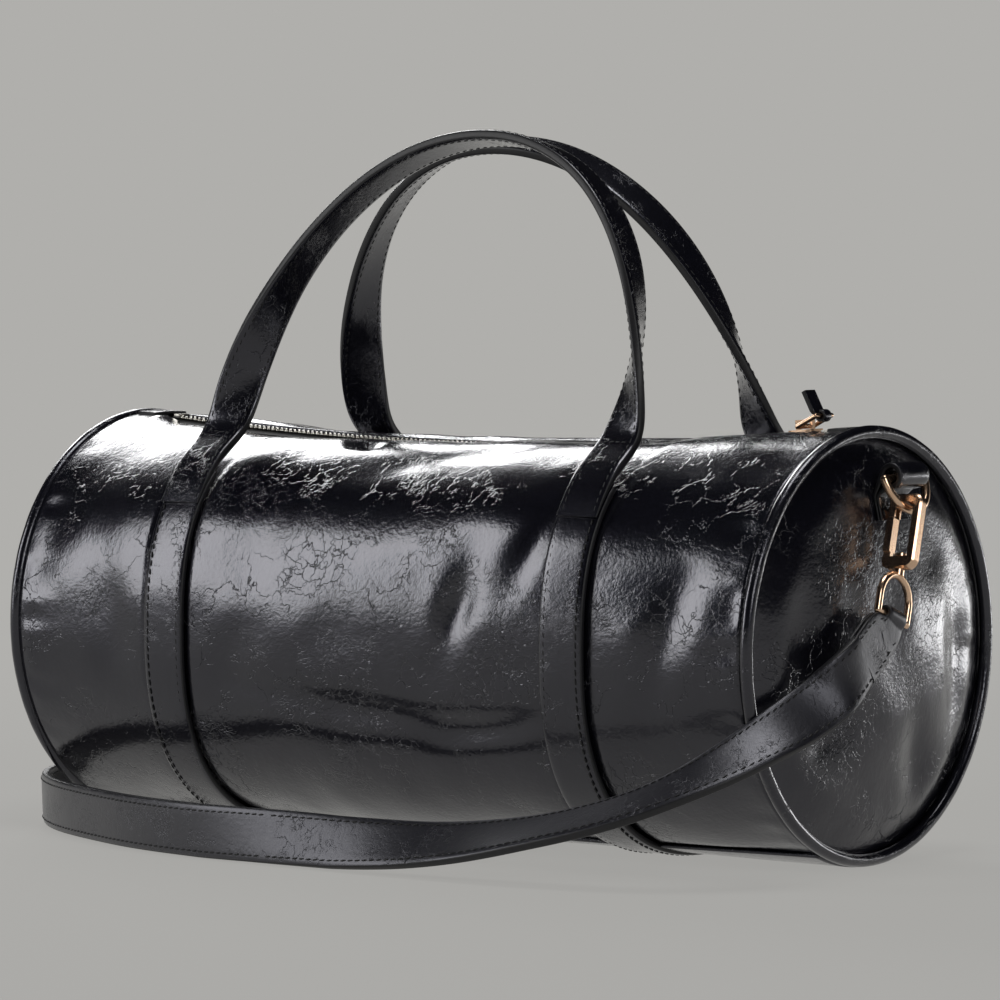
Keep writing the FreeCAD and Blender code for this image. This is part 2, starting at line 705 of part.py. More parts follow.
def frame_of_clasp():
    body = doc.addObject("PartDesign::Body", "clasp")
    blank = feature(
        body,
        "AdditiveBox",
        ("-clasp_width / 2", "-clasp_depth / 2", "-clasp_drop"),
        Length="clasp_width",
        Width="clasp_depth",
        Height="clasp_drop + ring_wire / 2 + hook_room + clasp_bar",
    )
    corners = rounded(body, blank, Y, "clasp_corner")
    doc.recompute()
    bevelled(body, corners, Y, "clasp_bevel")
    feature(
        body,
        "SubtractiveBox",
        ("clasp_bar - clasp_width / 2", "-clasp_depth", FOOT_TOP),
        Length="clasp_width - 2 * clasp_bar",
        Width="2 * clasp_depth",
        Height=f"ring_wire / 2 + hook_room - {FOOT_TOP}",
    )
    feature(
        body,
        "SubtractiveBox",
        ("-clasp_width", "-clasp_depth", FOOT_TOP),
        Length="clasp_width / 2 + clasp_bar + seat",
        Width="2 * clasp_depth",
        Height=f"{NOSE} - {FOOT_TOP}",
    )
    feature(
        body,
        "SubtractiveBox",
        ("-clasp_width", "-gate_neck / 2 - seat", "-2 * clasp_drop"),
        Length="clasp_width / 2 + clasp_bar + 3 * seat",
        Width="gate_neck + 2 * seat",
        Height="2 * clasp_drop",
    )
    feature(
        body,
        "SubtractiveCylinder",
        (PIN_X, "-clasp_depth", PIN_Z),
        ALONG_Y,
        Radius="gate_pin / 2",
        Height="2 * clasp_depth",
    )
    feature(
        body,
        "SubtractiveCylinder",
        ("0", "0", "-2 * clasp_drop"),
        Radius="post_diameter / 2 + running_fit",
        Height="2 * clasp_drop",
    )
    return body, clasp_frame


def gate_pin():
    pin = rod((PIN_X, "-clasp_depth / 2", PIN_Z), "gate_pin / 2", "clasp_depth")
    return fuse(pin, primitive("Sphere", (PIN_X, "0", PIN_Z), Radius="gate_pin / 2")), clasp_frame


def gate():
    root = f"({FOOT_TOP} + gate_neck_length)"
    bar = primitive(
        "Box",
        ("-clasp_width / 2", "-gate_depth / 2", root),
        Length="gate_width",
        Width="gate_depth",
        Height=f"{NOSE} - seat - {root}",
    )
    neck = primitive(
        "Box",
        ("-clasp_width / 2", "-gate_neck / 2", PIN_Z),
        Length="gate_width",
        Width="gate_neck",
        Height=f"{root} - {PIN_Z}",
    )
    knuckle = rod((PIN_X, "-gate_neck / 2", PIN_Z), "gate_width / 2", "gate_neck")
    bore = rod((PIN_X, "-gate_neck", PIN_Z), "gate_pin / 2 + running_fit", "2 * gate_neck")
    return cut(fuse(bar, neck, knuckle), bore), clasp_frame


EYE_TOP = "(-clasp_drop - seat - eye_neck)"
ARCH_Z = f"({EYE_TOP} - eye_reach)"
EYE_BAR = f"({ARCH_Z} - eye_leg)"


def swivel_eye():
    head_place = ("0", "0", f"{FOOT_TOP} + seat")
    head = primitive("Cylinder", head_place, Radius="post_head / 2", Height="post_head_height")
    post_height = f"{FOOT_TOP} + 2 * seat - {EYE_TOP}"
    post = primitive("Cylinder", ("0", "0", EYE_TOP), Radius="post_diameter / 2", Height=post_height)
    collar = primitive("Cylinder", ("0", "0", EYE_TOP), Radius="post_head / 2", Height="eye_neck")
    arch_place = ("0", "0", ARCH_Z)
    arch = primitive("Torus", arch_place, BOW_UP, Radius1="eye_reach", Radius2="eye_wire / 2", Angle3="180")
    bar = rod(("0", "-eye_reach", EYE_BAR), "eye_wire / 2", "2 * eye_reach")
    rods = [head, post, collar, arch, bar]
    for edge in ("-eye_reach", "eye_reach"):
        rods.append(primitive("Cylinder", ("0", edge, EYE_BAR), Radius="eye_wire / 2", Height="eye_leg"))
        rods.append(primitive("Sphere", ("0", edge, EYE_BAR), Radius="eye_wire / 2"))
    return fuse(*rods), clasp_frame


both_ends("clasp_frame", frame_of_clasp)
both_ends("gate_pin", gate_pin)
both_ends("gate", gate)
both_ends("swivel_eye", swivel_eye)

# Strap ends: folded round the swivel's eye and widening to the strap
eye_bar_drop = s.clasp_drop + s.seat + s.eye_neck + s.eye_reach + s.eye_leg
end_frame = clasp_frame * Placement(Z * -eye_bar_drop, Rotation(X, -s.strap_end_lean))
fold_radius = s.eye_wire / 2 + s.seat


def strap_end_shape():
    """A tapered tongue from the eye to the strap's full width, and the fold round the eye's bar."""
    half, throat = s.strap_width / 2, s.strap_end_throat / 2
    outline = (
        (-throat, 0),
        (throat, 0),
        (half, s.strap_end_taper),
        (half, s.strap_end_length),
        (-half, s.strap_end_length),
        (-half, s.strap_end_taper),
    )
    corners = [Vector(-s.strap / 2, across, -down) for across, down in outline]
    tongue = Part.Face(Part.makePolygon(corners + corners[:1])).extrude(X * s.strap)
    along_bar = Rotation(X, s.strap_end_lean).multVec(Y)
    fold = Part.makeCylinder(fold_radius + s.strap / 2, 2 * throat, along_bar * -throat, along_bar)
    hole = Part.makeCylinder(fold_radius, 2 * s.strap_width, along_bar * -s.strap_width, along_bar)
    return tongue.fuse(fold).cut(hole).removeSplitter()


for side, turn in (("right", Placement()), ("left", HALF_TURN)):
    formed(f"{side}_strap_end", strap_end_shape(), turn * end_frame)

# Shoulder strap: straight runs joined by arcs as large as the runs allow
route_start = end_frame.multVec(Z * -(s.strap_end_length + s.strap / 4))
route = [route_start] + [Vector(*point) for point in STRAP_ROUTE] + [HALF_TURN.multVec(route_start)]


def route_edges(points):
    """The lines and arcs of a route, and its arcs' radii."""
    edges, radii, last = [], [], points[0]
    for before, corner, after in zip(points, points[1:], points[2:]):
        into, out = before - corner, after - corner
        reach = ARC_SHARE * min(into.Length, out.Length)
        into.normalize()
        out.normalize()
        half_turn = (math.pi - into.getAngle(out)) / 2
        radius = reach / math.tan(half_turn)
        bisector = into + out
        bisector.normalize()
        start, end = corner + into * reach, corner + out * reach
        middle = corner + bisector * (radius / math.cos(half_turn) - radius)
        edges.append(Part.LineSegment(last, start).toShape())
        edges.append(Part.Arc(start, middle, end).toShape())
        radii.append(radius)
        last = end
    edges.append(Part.LineSegment(last, points[-1]).toShape())
    return edges, radii


def strap_solid(points):
    """The strap's flat section swept along a route that starts level, standing on its edge."""
    edges, radii = route_edges(points)
    path = Part.Wire(edges)
    ahead = points[1] - points[0]
    ahead.normalize()
    side = ahead.cross(Z)
    side.normalize()
    rise = side.cross(ahead)
    corners = []
    for out, up in ((-1, -1), (1, -1), (1, 1), (-1, 1)):
        corners.append(points[0] + side * (out * s.strap / 2) + rise * (up * s.strap_width / 2))
    solid = path.makePipeShell([Part.makePolygon(corners + corners[:1])], True, False)
    share = solid.Volume / (s.strap * s.strap_width * path.Length)
    print(f"strap run {path.Length:.1f} mm, volume share {share:.4f}, radii", [round(r) for r in radii])
    return solid


start_middle = (route[LEVEL_RUN] + route[LEVEL_RUN + 1]) / 2
to_right = strap_solid([start_middle] + route[LEVEL_RUN::-1])
to_left = strap_solid([start_middle] + route[LEVEL_RUN + 1 :])
formed("shoulder_strap", to_right.fuse(to_left).removeSplitter())

# Every object and every sub-part is sound before anything is written
doc.recompute()
for item in doc.Objects:
    if "Invalid" in item.State or "Error" in item.State:
        raise RuntimeError(f"{item.Label} did not build: {item.State}")
for piece in nodes:
    if piece.Shape.isNull() or not piece.Shape.isValid():
        raise RuntimeError(f"{piece.Label} has no sound shape")

os.makedirs("parts", exist_ok=True)
for piece in nodes:
    piece.Shape.exportStep(f"parts/{piece.Label}.step")
print(len(nodes), "sub-parts written")


def metres(point):
    return [round(value / 1000, 6) for value in point]


slider_run = math.degrees(2 * math.asin(slider_place / chain_radius))
print("slider axis", metres(sag_centre), "run in degrees", slider_run)
print("pull axis", metres(slider_frame.multVec(pull_pivot)))
print("handle axis y, z", round(foot_y, 3), round(foot_z, 3))
print("ring bar", metres(ring_bar))
print("clasp axis through", metres(bow_point), "along", [round(value, 6) for value in clasp_down])
pin_local = Vector(s.gate_width / 2 - s.clasp_width / 2, 0, s.clasp_foot / 2 - s.clasp_drop)
pin_axis = [round(value, 6) for value in bow_tangent]
print("gate pin", metres(clasp_frame.multVec(pin_local)), "along", pin_axis)
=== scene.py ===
# %% [markdown]
# # A barrel bag in crinkled black leather
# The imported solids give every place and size. This lesson puts the soft pieces on them: panels that
# sag and crease, piping, flat straps with painted edges, rows of thread and a long strap that lies
# where it fell. Each soft piece is a surface worked out with numpy and stands for the plain solid in
# the same place.

import bmesh
import bpy
import numpy as np
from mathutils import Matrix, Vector


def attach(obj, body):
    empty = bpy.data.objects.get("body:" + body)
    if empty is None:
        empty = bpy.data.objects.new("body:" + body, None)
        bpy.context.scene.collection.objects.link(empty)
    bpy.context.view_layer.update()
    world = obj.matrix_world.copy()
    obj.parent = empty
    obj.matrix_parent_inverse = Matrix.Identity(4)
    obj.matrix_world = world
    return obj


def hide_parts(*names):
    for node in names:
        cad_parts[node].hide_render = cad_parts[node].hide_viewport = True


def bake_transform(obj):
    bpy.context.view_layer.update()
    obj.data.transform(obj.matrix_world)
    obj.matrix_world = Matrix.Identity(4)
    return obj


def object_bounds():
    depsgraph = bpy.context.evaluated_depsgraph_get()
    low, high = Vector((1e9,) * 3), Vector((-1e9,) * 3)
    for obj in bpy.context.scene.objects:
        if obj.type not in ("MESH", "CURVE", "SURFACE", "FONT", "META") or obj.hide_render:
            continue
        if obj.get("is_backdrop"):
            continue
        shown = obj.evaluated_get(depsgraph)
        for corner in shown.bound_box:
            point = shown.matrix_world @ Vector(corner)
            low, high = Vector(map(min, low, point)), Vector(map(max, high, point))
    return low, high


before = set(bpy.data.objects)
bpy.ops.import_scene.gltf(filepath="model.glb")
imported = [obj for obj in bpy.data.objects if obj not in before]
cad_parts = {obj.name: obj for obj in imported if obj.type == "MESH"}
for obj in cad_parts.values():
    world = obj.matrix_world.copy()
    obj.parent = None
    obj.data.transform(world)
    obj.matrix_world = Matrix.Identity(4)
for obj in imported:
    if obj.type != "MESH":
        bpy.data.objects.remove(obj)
cad_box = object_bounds()
MM = 0.001
SIDES = ("right", 1), ("left", -1)

# %% [markdown]
# ## From arrays to meshes
# A sheet is a grid of points, a strap is a ring of points carried along a path, and thread or teeth
# are one small shape repeated. All three are grids of points joined by squares, so one function
# makes every mesh here. It takes millimetres, closes the grid where it meets itself, and fills the
# two ends of a strap.


# %% Grids of points become meshes
def grid_faces(rows, columns, closed):
    """Squares between neighbours of a grid; a closed grid's last column joins the first."""
    down = np.arange(rows - 1)[:, None]
    across = np.arange(columns if closed else columns - 1)[None, :]
    beside = (across + 1) % columns
    corners = [down * columns + across, down * columns + beside]
    corners += [(down + 1) * columns + beside, (down + 1) * columns + across]
    return np.stack(corners, -1).reshape(-1, 4)


def piece(
    name, points, material, body, node=None, slot=None, closed=False, caps=False, weld=False, wall=0.0
):
    """A mesh from a grid of points in millimetres, or from copies of one grid."""
    points = np.asarray(points, float)
    copies = points[None] if points.ndim == 3 else points
    count, rows, columns = copies.shape[:3]
    firsts = np.arange(count) * rows * columns
    faces = grid_faces(rows, columns, closed)
    faces = (faces[None] + firsts[:, None, None]).reshape(-1, 4).tolist()
    if caps:
        starts = firsts[:, None] + np.arange(columns)[None, :]
        faces += starts[:, ::-1].tolist() + (starts + (rows - 1) * columns).tolist()
    mesh = bpy.data.meshes.new(name)
    mesh.from_pydata((copies.reshape(-1, 3) * MM).tolist(), [], faces)
    if caps:
        rims = np.empty(len(mesh.loops), np.int32)
        mesh.loops.foreach_get("edge_index", rims)
        sharp = np.zeros(len(mesh.edges), bool)
        sharp[rims[-2 * count * columns :]] = True
        mesh.attributes.new("sharp_edge", "BOOLEAN", "EDGE").data.foreach_set("value", sharp)
    if weld:
        tidy = bmesh.new()
        tidy.from_mesh(mesh)
        bmesh.ops.remove_doubles(tidy, verts=tidy.verts, dist=1e-6)
        bmesh.ops.recalc_face_normals(tidy, faces=tidy.faces)
        tidy.to_mesh(mesh)
        tidy.free()
    mesh.polygons.foreach_set("use_smooth", np.ones(len(mesh.polygons), bool))
    for layer in material if isinstance(material, tuple) else (material,):
        mesh.materials.append(layer)
    made = bpy.data.objects.new(name, mesh)
    bpy.context.collection.objects.link(made)
    if wall:
        thick = made.modifiers.new("wall", "SOLIDIFY")
        thick.thickness = wall * MM
        thick.offset = -1
    if body:
        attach(made, body)
    if node:
        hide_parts(node)
    print(f"{name}: {len(mesh.polygons)} faces")
    return made


# %% [markdown]
# ## Finishes
# The leather is tumbled until it cracks into a net of fine creases, then glazed with a clear coat,
# so it is a near-black body under a mirror-like skin; the faint blue cast in its colour and in the
# tint of its reflections is painted reflection. The shoulder strap is waxed instead, which leaves it
# duller. Strap edges are sealed with a matte paint. The fittings are plated in a pale gold, the zip's
# teeth are bright nickel, and the tape and lining are woven. A noise texture alone looks like stone;
# creases come from the borders between random cells, bent by a soft noise and kept only in patches.


# %% Colours and nodes
def colour(code):
    """An sRGB hex code as linear light."""
    parts = np.array([int(code[i : i + 2], 16) for i in (1, 3, 5)]) / 255
    light = np.where(parts <= 0.04045, parts / 12.92, ((parts + 0.055) / 1.055) ** 2.4)
    return (*light.tolist(), 1.0)


def add(tree, kind, settings=None, **inputs):
    """Adds a node. Settings are its own, and each input is a value or another node's output."""
    made = tree.nodes.new("ShaderNode" + kind)
    for name, value in (settings or {}).items():
        setattr(made, name, value)
    for name, value in inputs.items():
        key = int(name[1:]) if name[1:].isdigit() else name.replace("_", " ")
        if isinstance(value, bpy.types.NodeSocket):
            tree.links.new(value, made.inputs[key])
        else:
            made.inputs[key].default_value = value
    return made


def combine(tree, operation, *values):
    """The result of a Math node on two or three values."""
    inputs = {f"i{place}": value for place, value in enumerate(values)}
    return add(tree, "Math", {"operation": operation}, **inputs).outputs[0]


def two_tone(tree, factor, first, second, socket):
    """Feeds a colour input with a mix of two hex codes that follows a pattern."""
    shades = {"Factor": factor, "i6": colour(first), "i7": colour(second)}
    tree.links.new(add(tree, "Mix", {"data_type": "RGBA"}, **shades).outputs[2], socket)


def dial(shader, **values):
    """Sets a shader's plain inputs; an underscore stands for a space."""
    for name, value in values.items():
        shader.inputs[name.replace("_", " ")].default_value = value


def finish(name):
    """A new material, its node tree and its shader."""
    made = bpy.data.materials.new(name)
    made.use_nodes = True
    return made, made.node_tree, made.node_tree.nodes["Principled BSDF"]


def per_mm(size):
    """The scale at which a pattern repeats about once in that many millimetres."""
    return 1 / (size * MM)


# %% Crinkled glazed leather
SOFT_STEP = {"interpolation_type": "SMOOTHSTEP"}
PEBBLE_MM, CRACK_MM, BODY_ROUGHNESS = 1.5, 0.26, 0.26
# Nets of cracks: cell size and depth as shares, noise level where a patch starts, and a seed
CRACK_NETS = (1.0, 0.5, 0.5, 0.0), (0.4, 0.4, 0.5, 3.0), (0.17, 0.3, 0.53, 7.0)


def crinkled_leather(name, crease_mm, depth_mm, coat_roughness):
    """Tumbled and glazed hide: dark body, glassy coat, thin cracks in patches, a faint pebble."""
    made, tree, shader = finish(name)
    place = add(tree, "TexCoord").outputs["Object"]
    bend = add(tree, "TexNoise", Vector=place, Scale=per_mm(crease_mm), Detail=4.0, Roughness=0.62)
    push = {"i0": bend.outputs["Color"], "i1": (1.5 * crease_mm * MM,) * 3, "i2": place}
    pushed = add(tree, "VectorMath", {"operation": "MULTIPLY_ADD"}, **push).outputs[0]
    pebble = add(tree, "TexNoise", Vector=place, Scale=per_mm(PEBBLE_MM), Detail=4.0, Roughness=0.6)
    swell = add(tree, "TexNoise", Vector=pushed, Scale=per_mm(crease_mm * 0.7), Detail=3.0)
    height = combine(tree, "MULTIPLY", pebble.outputs[0], 0.3)
    height = combine(tree, "MULTIPLY_ADD", swell.outputs[0], 0.5, height)
    for size, deep, low, seed in CRACK_NETS:
        cell = {"Vector": pushed, "Scale": per_mm(crease_mm * size)}
        cell = add(tree, "TexVoronoi", {"feature": "DISTANCE_TO_EDGE"}, **cell)
        crack = {"Value": cell.outputs["Distance"], "From_Max": CRACK_MM / (crease_mm * size)}
        crack = add(tree, "MapRange", SOFT_STEP, **crack, To_Min=-deep, To_Max=0.0)
        patch = {"Vector": place, "W": seed, "Scale": per_mm(crease_mm * 2.4)}
        patch = add(tree, "TexNoise", {"noise_dimensions": "4D"}, **patch, Detail=6.0, Roughness=0.64)
        where = {"Value": patch.outputs[0], "From_Min": low, "From_Max": low + 0.12}
        where = add(tree, "MapRange", SOFT_STEP, **where)
        height = combine(tree, "MULTIPLY_ADD", crack.outputs[0], where.outputs[0], height)
    bump = add(tree, "Bump", Height=height, Strength=1.0, Distance=depth_mm * MM)
    for normal in ("Normal", "Coat Normal"):
        tree.links.new(bump.outputs[0], shader.inputs[normal])
    # Near-black tone that varies at random with the pebble; its blue cast is a painted blue reflection
    two_tone(tree, pebble.outputs[0], "#050507", "#16161f", shader.inputs["Base Color"])
    dial(shader, Roughness=max(BODY_ROUGHNESS, coat_roughness), Specular_IOR_Level=0.44)
    # The blue specular tint is painted reflection: it turns every reflection on the leather blue
    dial(shader, Specular_Tint=colour("#e6e6ff"), Coat_Weight=1.0, Coat_Roughness=coat_roughness)
    return made


body_leather = crinkled_leather("glazed crinkled leather", 15.0, 0.34, 0.08)
strap_leather = crinkled_leather("glazed strap leather", 9.0, 0.2, 0.14)
shoulder_leather = crinkled_leather("waxed shoulder strap leather", 9.0, 0.2, 0.4)

# %% Painted edges, thread, metals and cloth
edge_paint, tree, shader = finish("matte edge paint")
place = add(tree, "TexCoord").outputs["Object"]
brush = add(tree, "TexNoise", Vector=place, Scale=per_mm(2.2), Detail=3.0)
bump = add(tree, "Bump", Height=brush.outputs[0], Strength=0.5, Distance=0.15 * MM)
tree.links.new(bump.outputs[0], shader.inputs["Normal"])
two_tone(tree, brush.outputs[0], "#141416", "#222226", shader.inputs["Base Color"])
dial(shader, Roughness=0.46)

waxed_thread, tree, shader = finish("waxed thread")
place = add(tree, "TexCoord").outputs["Object"]
strand = add(tree, "TexNoise", Vector=place, Scale=per_mm(0.35), Detail=2.0)
two_tone(tree, strand.outputs[0], "#0a0a0b", "#18181a", shader.inputs["Base Color"])
dial(shader, Roughness=0.6)


def polished_metal(name, bright, dull, roughness):
    """Plated metal, buffed: a clear mirror, a little cloudier where hands have worn it."""
    made, tree, shader = finish(name)
    place = add(tree, "TexCoord").outputs["Object"]
    worn = add(tree, "TexNoise", Vector=place, Scale=per_mm(7.0), Detail=4.0).outputs[0]
    cloud = add(tree, "MapRange", Value=worn, To_Min=roughness * 0.6, To_Max=roughness * 1.7)
    tree.links.new(cloud.outputs[0], shader.inputs["Roughness"])
    two_tone(tree, worn, bright, dull, shader.inputs["Base Color"])
    dial(shader, Metallic=1.0)
    return made


pale_gold = polished_metal("pale gold plate", "#f3d6bb", "#dbb18e", 0.2)
bright_nickel = polished_metal("bright nickel", "#e6e3dc", "#bdb9b0", 0.16)


def woven_cloth(name, thread_mm, dark, light):
    """Plain weave: two sets of ribs at right angles, as coarse as the render needs."""
    made, tree, shader = finish(name)
    place = add(tree, "TexCoord").outputs["Object"]
    ribs = []
    for axis in ("X", "Y"):
        wave = {"Vector": place, "Scale": per_mm(thread_mm) / 20}
        ribs.append(add(tree, "TexWave", {"bands_direction": axis}, **wave).outputs["Color"])
    weave = combine(tree, "MULTIPLY", *ribs)
    bump = add(tree, "Bump", Height=weave, Strength=0.7, Distance=0.2 * MM)
    tree.links.new(bump.outputs[0], shader.inputs["Normal"])
    two_tone(tree, weave, dark, light, shader.inputs["Base Color"])
    dial(shader, Roughness=0.85)
    return made


zip_cloth = woven_cloth("woven zip tape", 0.9, "#080808", "#1b1b1d")
lining_cloth = woven_cloth("lining cloth", 1.2, "#1a1a1c", "#2c2c30")
print(len(bpy.data.materials), "materials")

# %% [markdown]
# ## The barrel's surface
# Stuffed softly, a barrel bag is round only at its stiff ends. In the middle its top sinks, its
# belly flattens and its outline turns a little square. A super-ellipse says that with one power: 2
# is an ellipse, more is squarer. The sagging zip then presses the top down along a long arc. A soft
# minimum joins the two without a crease.

# %% The outline at any place along the barrel
RADIUS, HALF_LENGTH, AXIS = 79.4, 172.0, 80.8
TOP_DROP, SIDE_SWELL, BELLY_LIFT, SQUARE, FULL = 7.2, 1.5, 2.05, 0.55, 0.6
ZIP_HALF, ZIP_SAG, ZIP_INSET, ZIP_SOFT = 162.0, 8.0, 0.5, 0.8
SAG_RADIUS = (ZIP_HALF**2 + ZIP_SAG**2) / (2 * ZIP_SAG)
SAG_CENTRE = AXIS + RADIUS - ZIP_INSET - ZIP_SAG + SAG_RADIUS


def outline(x, out):
    """Half width, half height, middle and power of the outline at x, pushed outwards."""
    share = np.clip(np.abs(x) / HALF_LENGTH, 0, 1)
    full = np.sin(np.pi / 2 * np.minimum(1, (1 - share) / FULL)) ** 2
    top = AXIS + RADIUS - TOP_DROP * (1 - share**2) ** 2 + out
    bottom = AXIS - RADIUS + BELLY_LIFT * full - out
    wide = RADIUS + SIDE_SWELL * full + out
    return wide, (top - bottom) / 2, (top + bottom) / 2, 2 + SQUARE * full


def sag_height(x, out=0.0):
    """The height of the zip's arc at x, pushed outwards."""
    return SAG_CENTRE - np.sqrt((SAG_RADIUS - out) ** 2 - x**2)


def barrel(x, angle, out=0.0):
    """The point at x, at an angle from the top towards the front, pushed outwards."""
    x, angle, out = np.broadcast_arrays(np.asarray(x, float), angle, out)
    width, height, middle, power = outline(x, out)
    wide, tall = np.abs(np.sin(angle) / width) ** power, np.abs(np.cos(angle) / height) ** power
    reach = (wide + tall) ** (-1 / power)
    up = middle + reach * np.cos(angle)
    up = up - ZIP_SOFT * np.logaddexp(0, (up - sag_height(x, out)) / ZIP_SOFT)
    return np.stack([x, -reach * np.sin(angle), up], -1)


def angle_at_side(x, side):
    """The angle from the top where the outline is that far sideways, near the mouth or a foot."""
    width, height, _, power = outline(x, 0)
    rise = (1 - np.abs(side / width) ** power) ** (1 / power)
    return np.arctan2(side, rise * height)


def angle_at_height(x, level):
    """The angle from the top where the outline comes down to a level."""
    width, height, middle, power = outline(x, 0)
    drop = (level - middle) / height
    return np.arctan2(width * (1 - np.abs(drop) ** power) ** (1 / power), drop * height)


def hills(u, v, size, seed):
    """Smooth random hills between -1 and 1: random numbers on a grid, joined by soft steps."""
    table = np.random.default_rng(seed).uniform(-1, 1, (64, 64))
    u, v = u / size + 900, v / size + 900
    column, row = np.floor(u).astype(int), np.floor(v).astype(int)
    a, b = u - column, v - row
    a, b = a * a * (3 - 2 * a), b * b * (3 - 2 * b)
    corner = lambda i, j: table[(column + i) % 64, (row + j) % 64]
    low = corner(0, 0) * (1 - a) + corner(1, 0) * a
    return low * (1 - b) + (corner(0, 1) * (1 - a) + corner(1, 1) * a) * b


# %% [markdown]
# ## Dents and pulls in the panels
# Empty leather does not stay smooth. It dimples near the zip, pillows between the straps and puckers
# where it is gathered into the piping. Each dent is a bell curve with a place along the barrel, an
# angle from the top, a depth, two widths and a slant; soft random hills fill in what nobody would
# draw by hand.

# %% Relief of the leather
GIRTH_PLACE, GIRTH_WIDTH, GIRTH = 95.0, 19.0, 2.8
PILLOW, POCKET_PILLOW, POCKET_MIDDLE, POCKET_HALF = 2.0, 1.0, 133.5, 38.5
# Place in mm, angle in degrees, depth (negative for a bulge), length, width and slant
DENTS = (
    (-34, 24, 3.6, 9, 7, 0.3),
    (20, 33, 1.4, 40, 8, -0.35),
    (46, 78, 2.4, 8, 17, 0.35),
    (78, 62, 1.5, 7, 20, 0.5),
    (0, 107, 1.9, 60, 6, 0.1),
    (60, 110, 1.9, 30, 6, -0.15),
    (-60, 95, 1.2, 14, 22, 0.4),
    (-128, 82, 1.5, 12, 26, -0.3),
    (140, 84, 1.6, 10, 26, 0.3),
    (58, 52, -2.4, 30, 20, 0.25),
    (-138, 66, -1.2, 24, 18, -0.2),
)


def relief(x, angle, seed):
    """How far the leather stands out, in millimetres: pillows between the straps, hills, dents."""
    run = angle * RADIUS
    middle = np.abs(x) < GIRTH_PLACE
    between = np.where(middle, x / GIRTH_PLACE, (np.abs(x) - POCKET_MIDDLE) / POCKET_HALF)
    total = np.where(middle, PILLOW, POCKET_PILLOW) * (1 - between**2) - 0.4
    total = total + 0.8 * hills(x, run, 44, seed) + 0.35 * hills(x + 0.4 * run, run, 17, seed + 1)
    for at, turn, depth, length, width, slant in DENTS:
        along, across = x - at, run - np.radians(turn) * RADIUS
        along, across = along + slant * across, across - slant * along
        total = total - depth * np.exp(-((along / length) ** 2) - (across / width) ** 2)
    at, turn = DENTS[0][:2]
    dimple = np.exp(-(((x - at) / 11) ** 2) - ((run - np.radians(turn) * RADIUS) / 8) ** 2)
    total = total + 1.1 * hills(x, run, 3.6, seed + 5) * dimple
    under_strap = np.abs(np.abs(x) - GIRTH_PLACE) < GIRTH_WIDTH / 2 + 2
    total = np.where(under_strap, np.minimum(total, -0.2), total)
    edge = HALF_LENGTH - np.abs(x)
    pucker = 0.8 * hills(run, x * 0, 6.5, seed + 2) * np.exp(-((edge / 13) ** 2))
    return total * (1 - np.exp(-((edge / 16) ** 2))) + pucker * (1 - np.exp(-((edge / 3) ** 2)))


# %% Front, back and base panels
LEATHER, MOUTH, BASE_SEAM, BACK_SHIFT = 1.6, 6.5, 7.0, 7
along = np.linspace(-1, 1, 201)
along = HALF_LENGTH * (along + 0.08 * np.sin(np.pi * along) / np.pi)
lip, seam = angle_at_side(along, MOUTH), angle_at_height(along, BASE_SEAM)
down = np.linspace(0, 1, 150)[None, :]
calm = (1 - np.exp(-((down / 0.03) ** 2))) * (1 - np.exp(-(((1 - down) / 0.02) ** 2)))
turn = lip[:, None] * (1 - down) + seam[:, None] * down
for side, sign, seed, shift in (("front", 1, 11, 0), ("back", -1, 31, BACK_SHIFT)):
    # The front lip is pressed in on the left, where the teeth show; elsewhere a lip stands proud
    pressed = np.clip((30 - along) / 30, 0, 1) * (sign > 0)
    pressed = pressed * np.clip((ZIP_HALF - 4 + along) / 8, 0, 1)
    rolled = -2.2 * np.exp(-((down / 0.09) ** 2)) * pressed[:, None]
    proud = (1 - pressed) * (np.abs(along) < ZIP_HALF - 4)
    rolled = rolled + 0.7 * np.exp(-(((down - 0.03) / 0.025) ** 2)) * proud[:, None]
    lift = relief(along[:, None], turn + shift, seed) * calm + rolled
    sheet = barrel(along[:, None], sign * turn, lift)[:, ::sign]
    lies_on = "bag", f"{side}_panel", "crinkled_leather"
    piece(f"{side}_leather", sheet, body_leather, *lies_on, wall=LEATHER)
across = np.linspace(-1, 1, 61)[None, :]
sheet = barrel(along[:, None], np.pi - across * (np.pi - seam[:, None]))
piece("base_leather", sheet, body_leather, "bag", "base_panel", "crinkled_leather", wall=LEATHER)

# %% [markdown]
# ## Ends and piping
# Each end is a stiffer disc that bulges like a drum skin. It is sewn to the barrel over a
# leather-covered cord. A disc in polar rings bends well, because its creases run from the rim
# towards the middle.

# %% Domed ends
LIP_RADIUS, BULGE = 76.8, 14.0
DOME = (LIP_RADIUS**2 + BULGE**2) / (2 * BULGE)
DOME_X = HALF_LENGTH + BULGE - DOME
# Place across and up from the middle, depth, length, width and slant
END_DENTS = (
    (-34, -30, 3.0, 16, 9, 0.6),
    (20, -42, 2.6, 9, 18, 0.3),
    (48, -8, 2.2, 9, 24, 0.1),
    (-12, 22, 1.5, 22, 20, 0.0),
    (30, 36, 1.4, 14, 12, -0.5),
)


def end_relief(y, z, seed):
    """Dents of an end panel, by place across and up from its middle."""
    total = 0.8 * hills(y, z, 34, seed) + 0.35 * hills(y, z, 13, seed + 1)
    for at, up, depth, length, width, slant in END_DENTS:
        a, b = y - at, z - up
        a, b = a + slant * b, b - slant * a
        total = total - depth * np.exp(-((a / length) ** 2) - (b / width) ** 2)
    return total


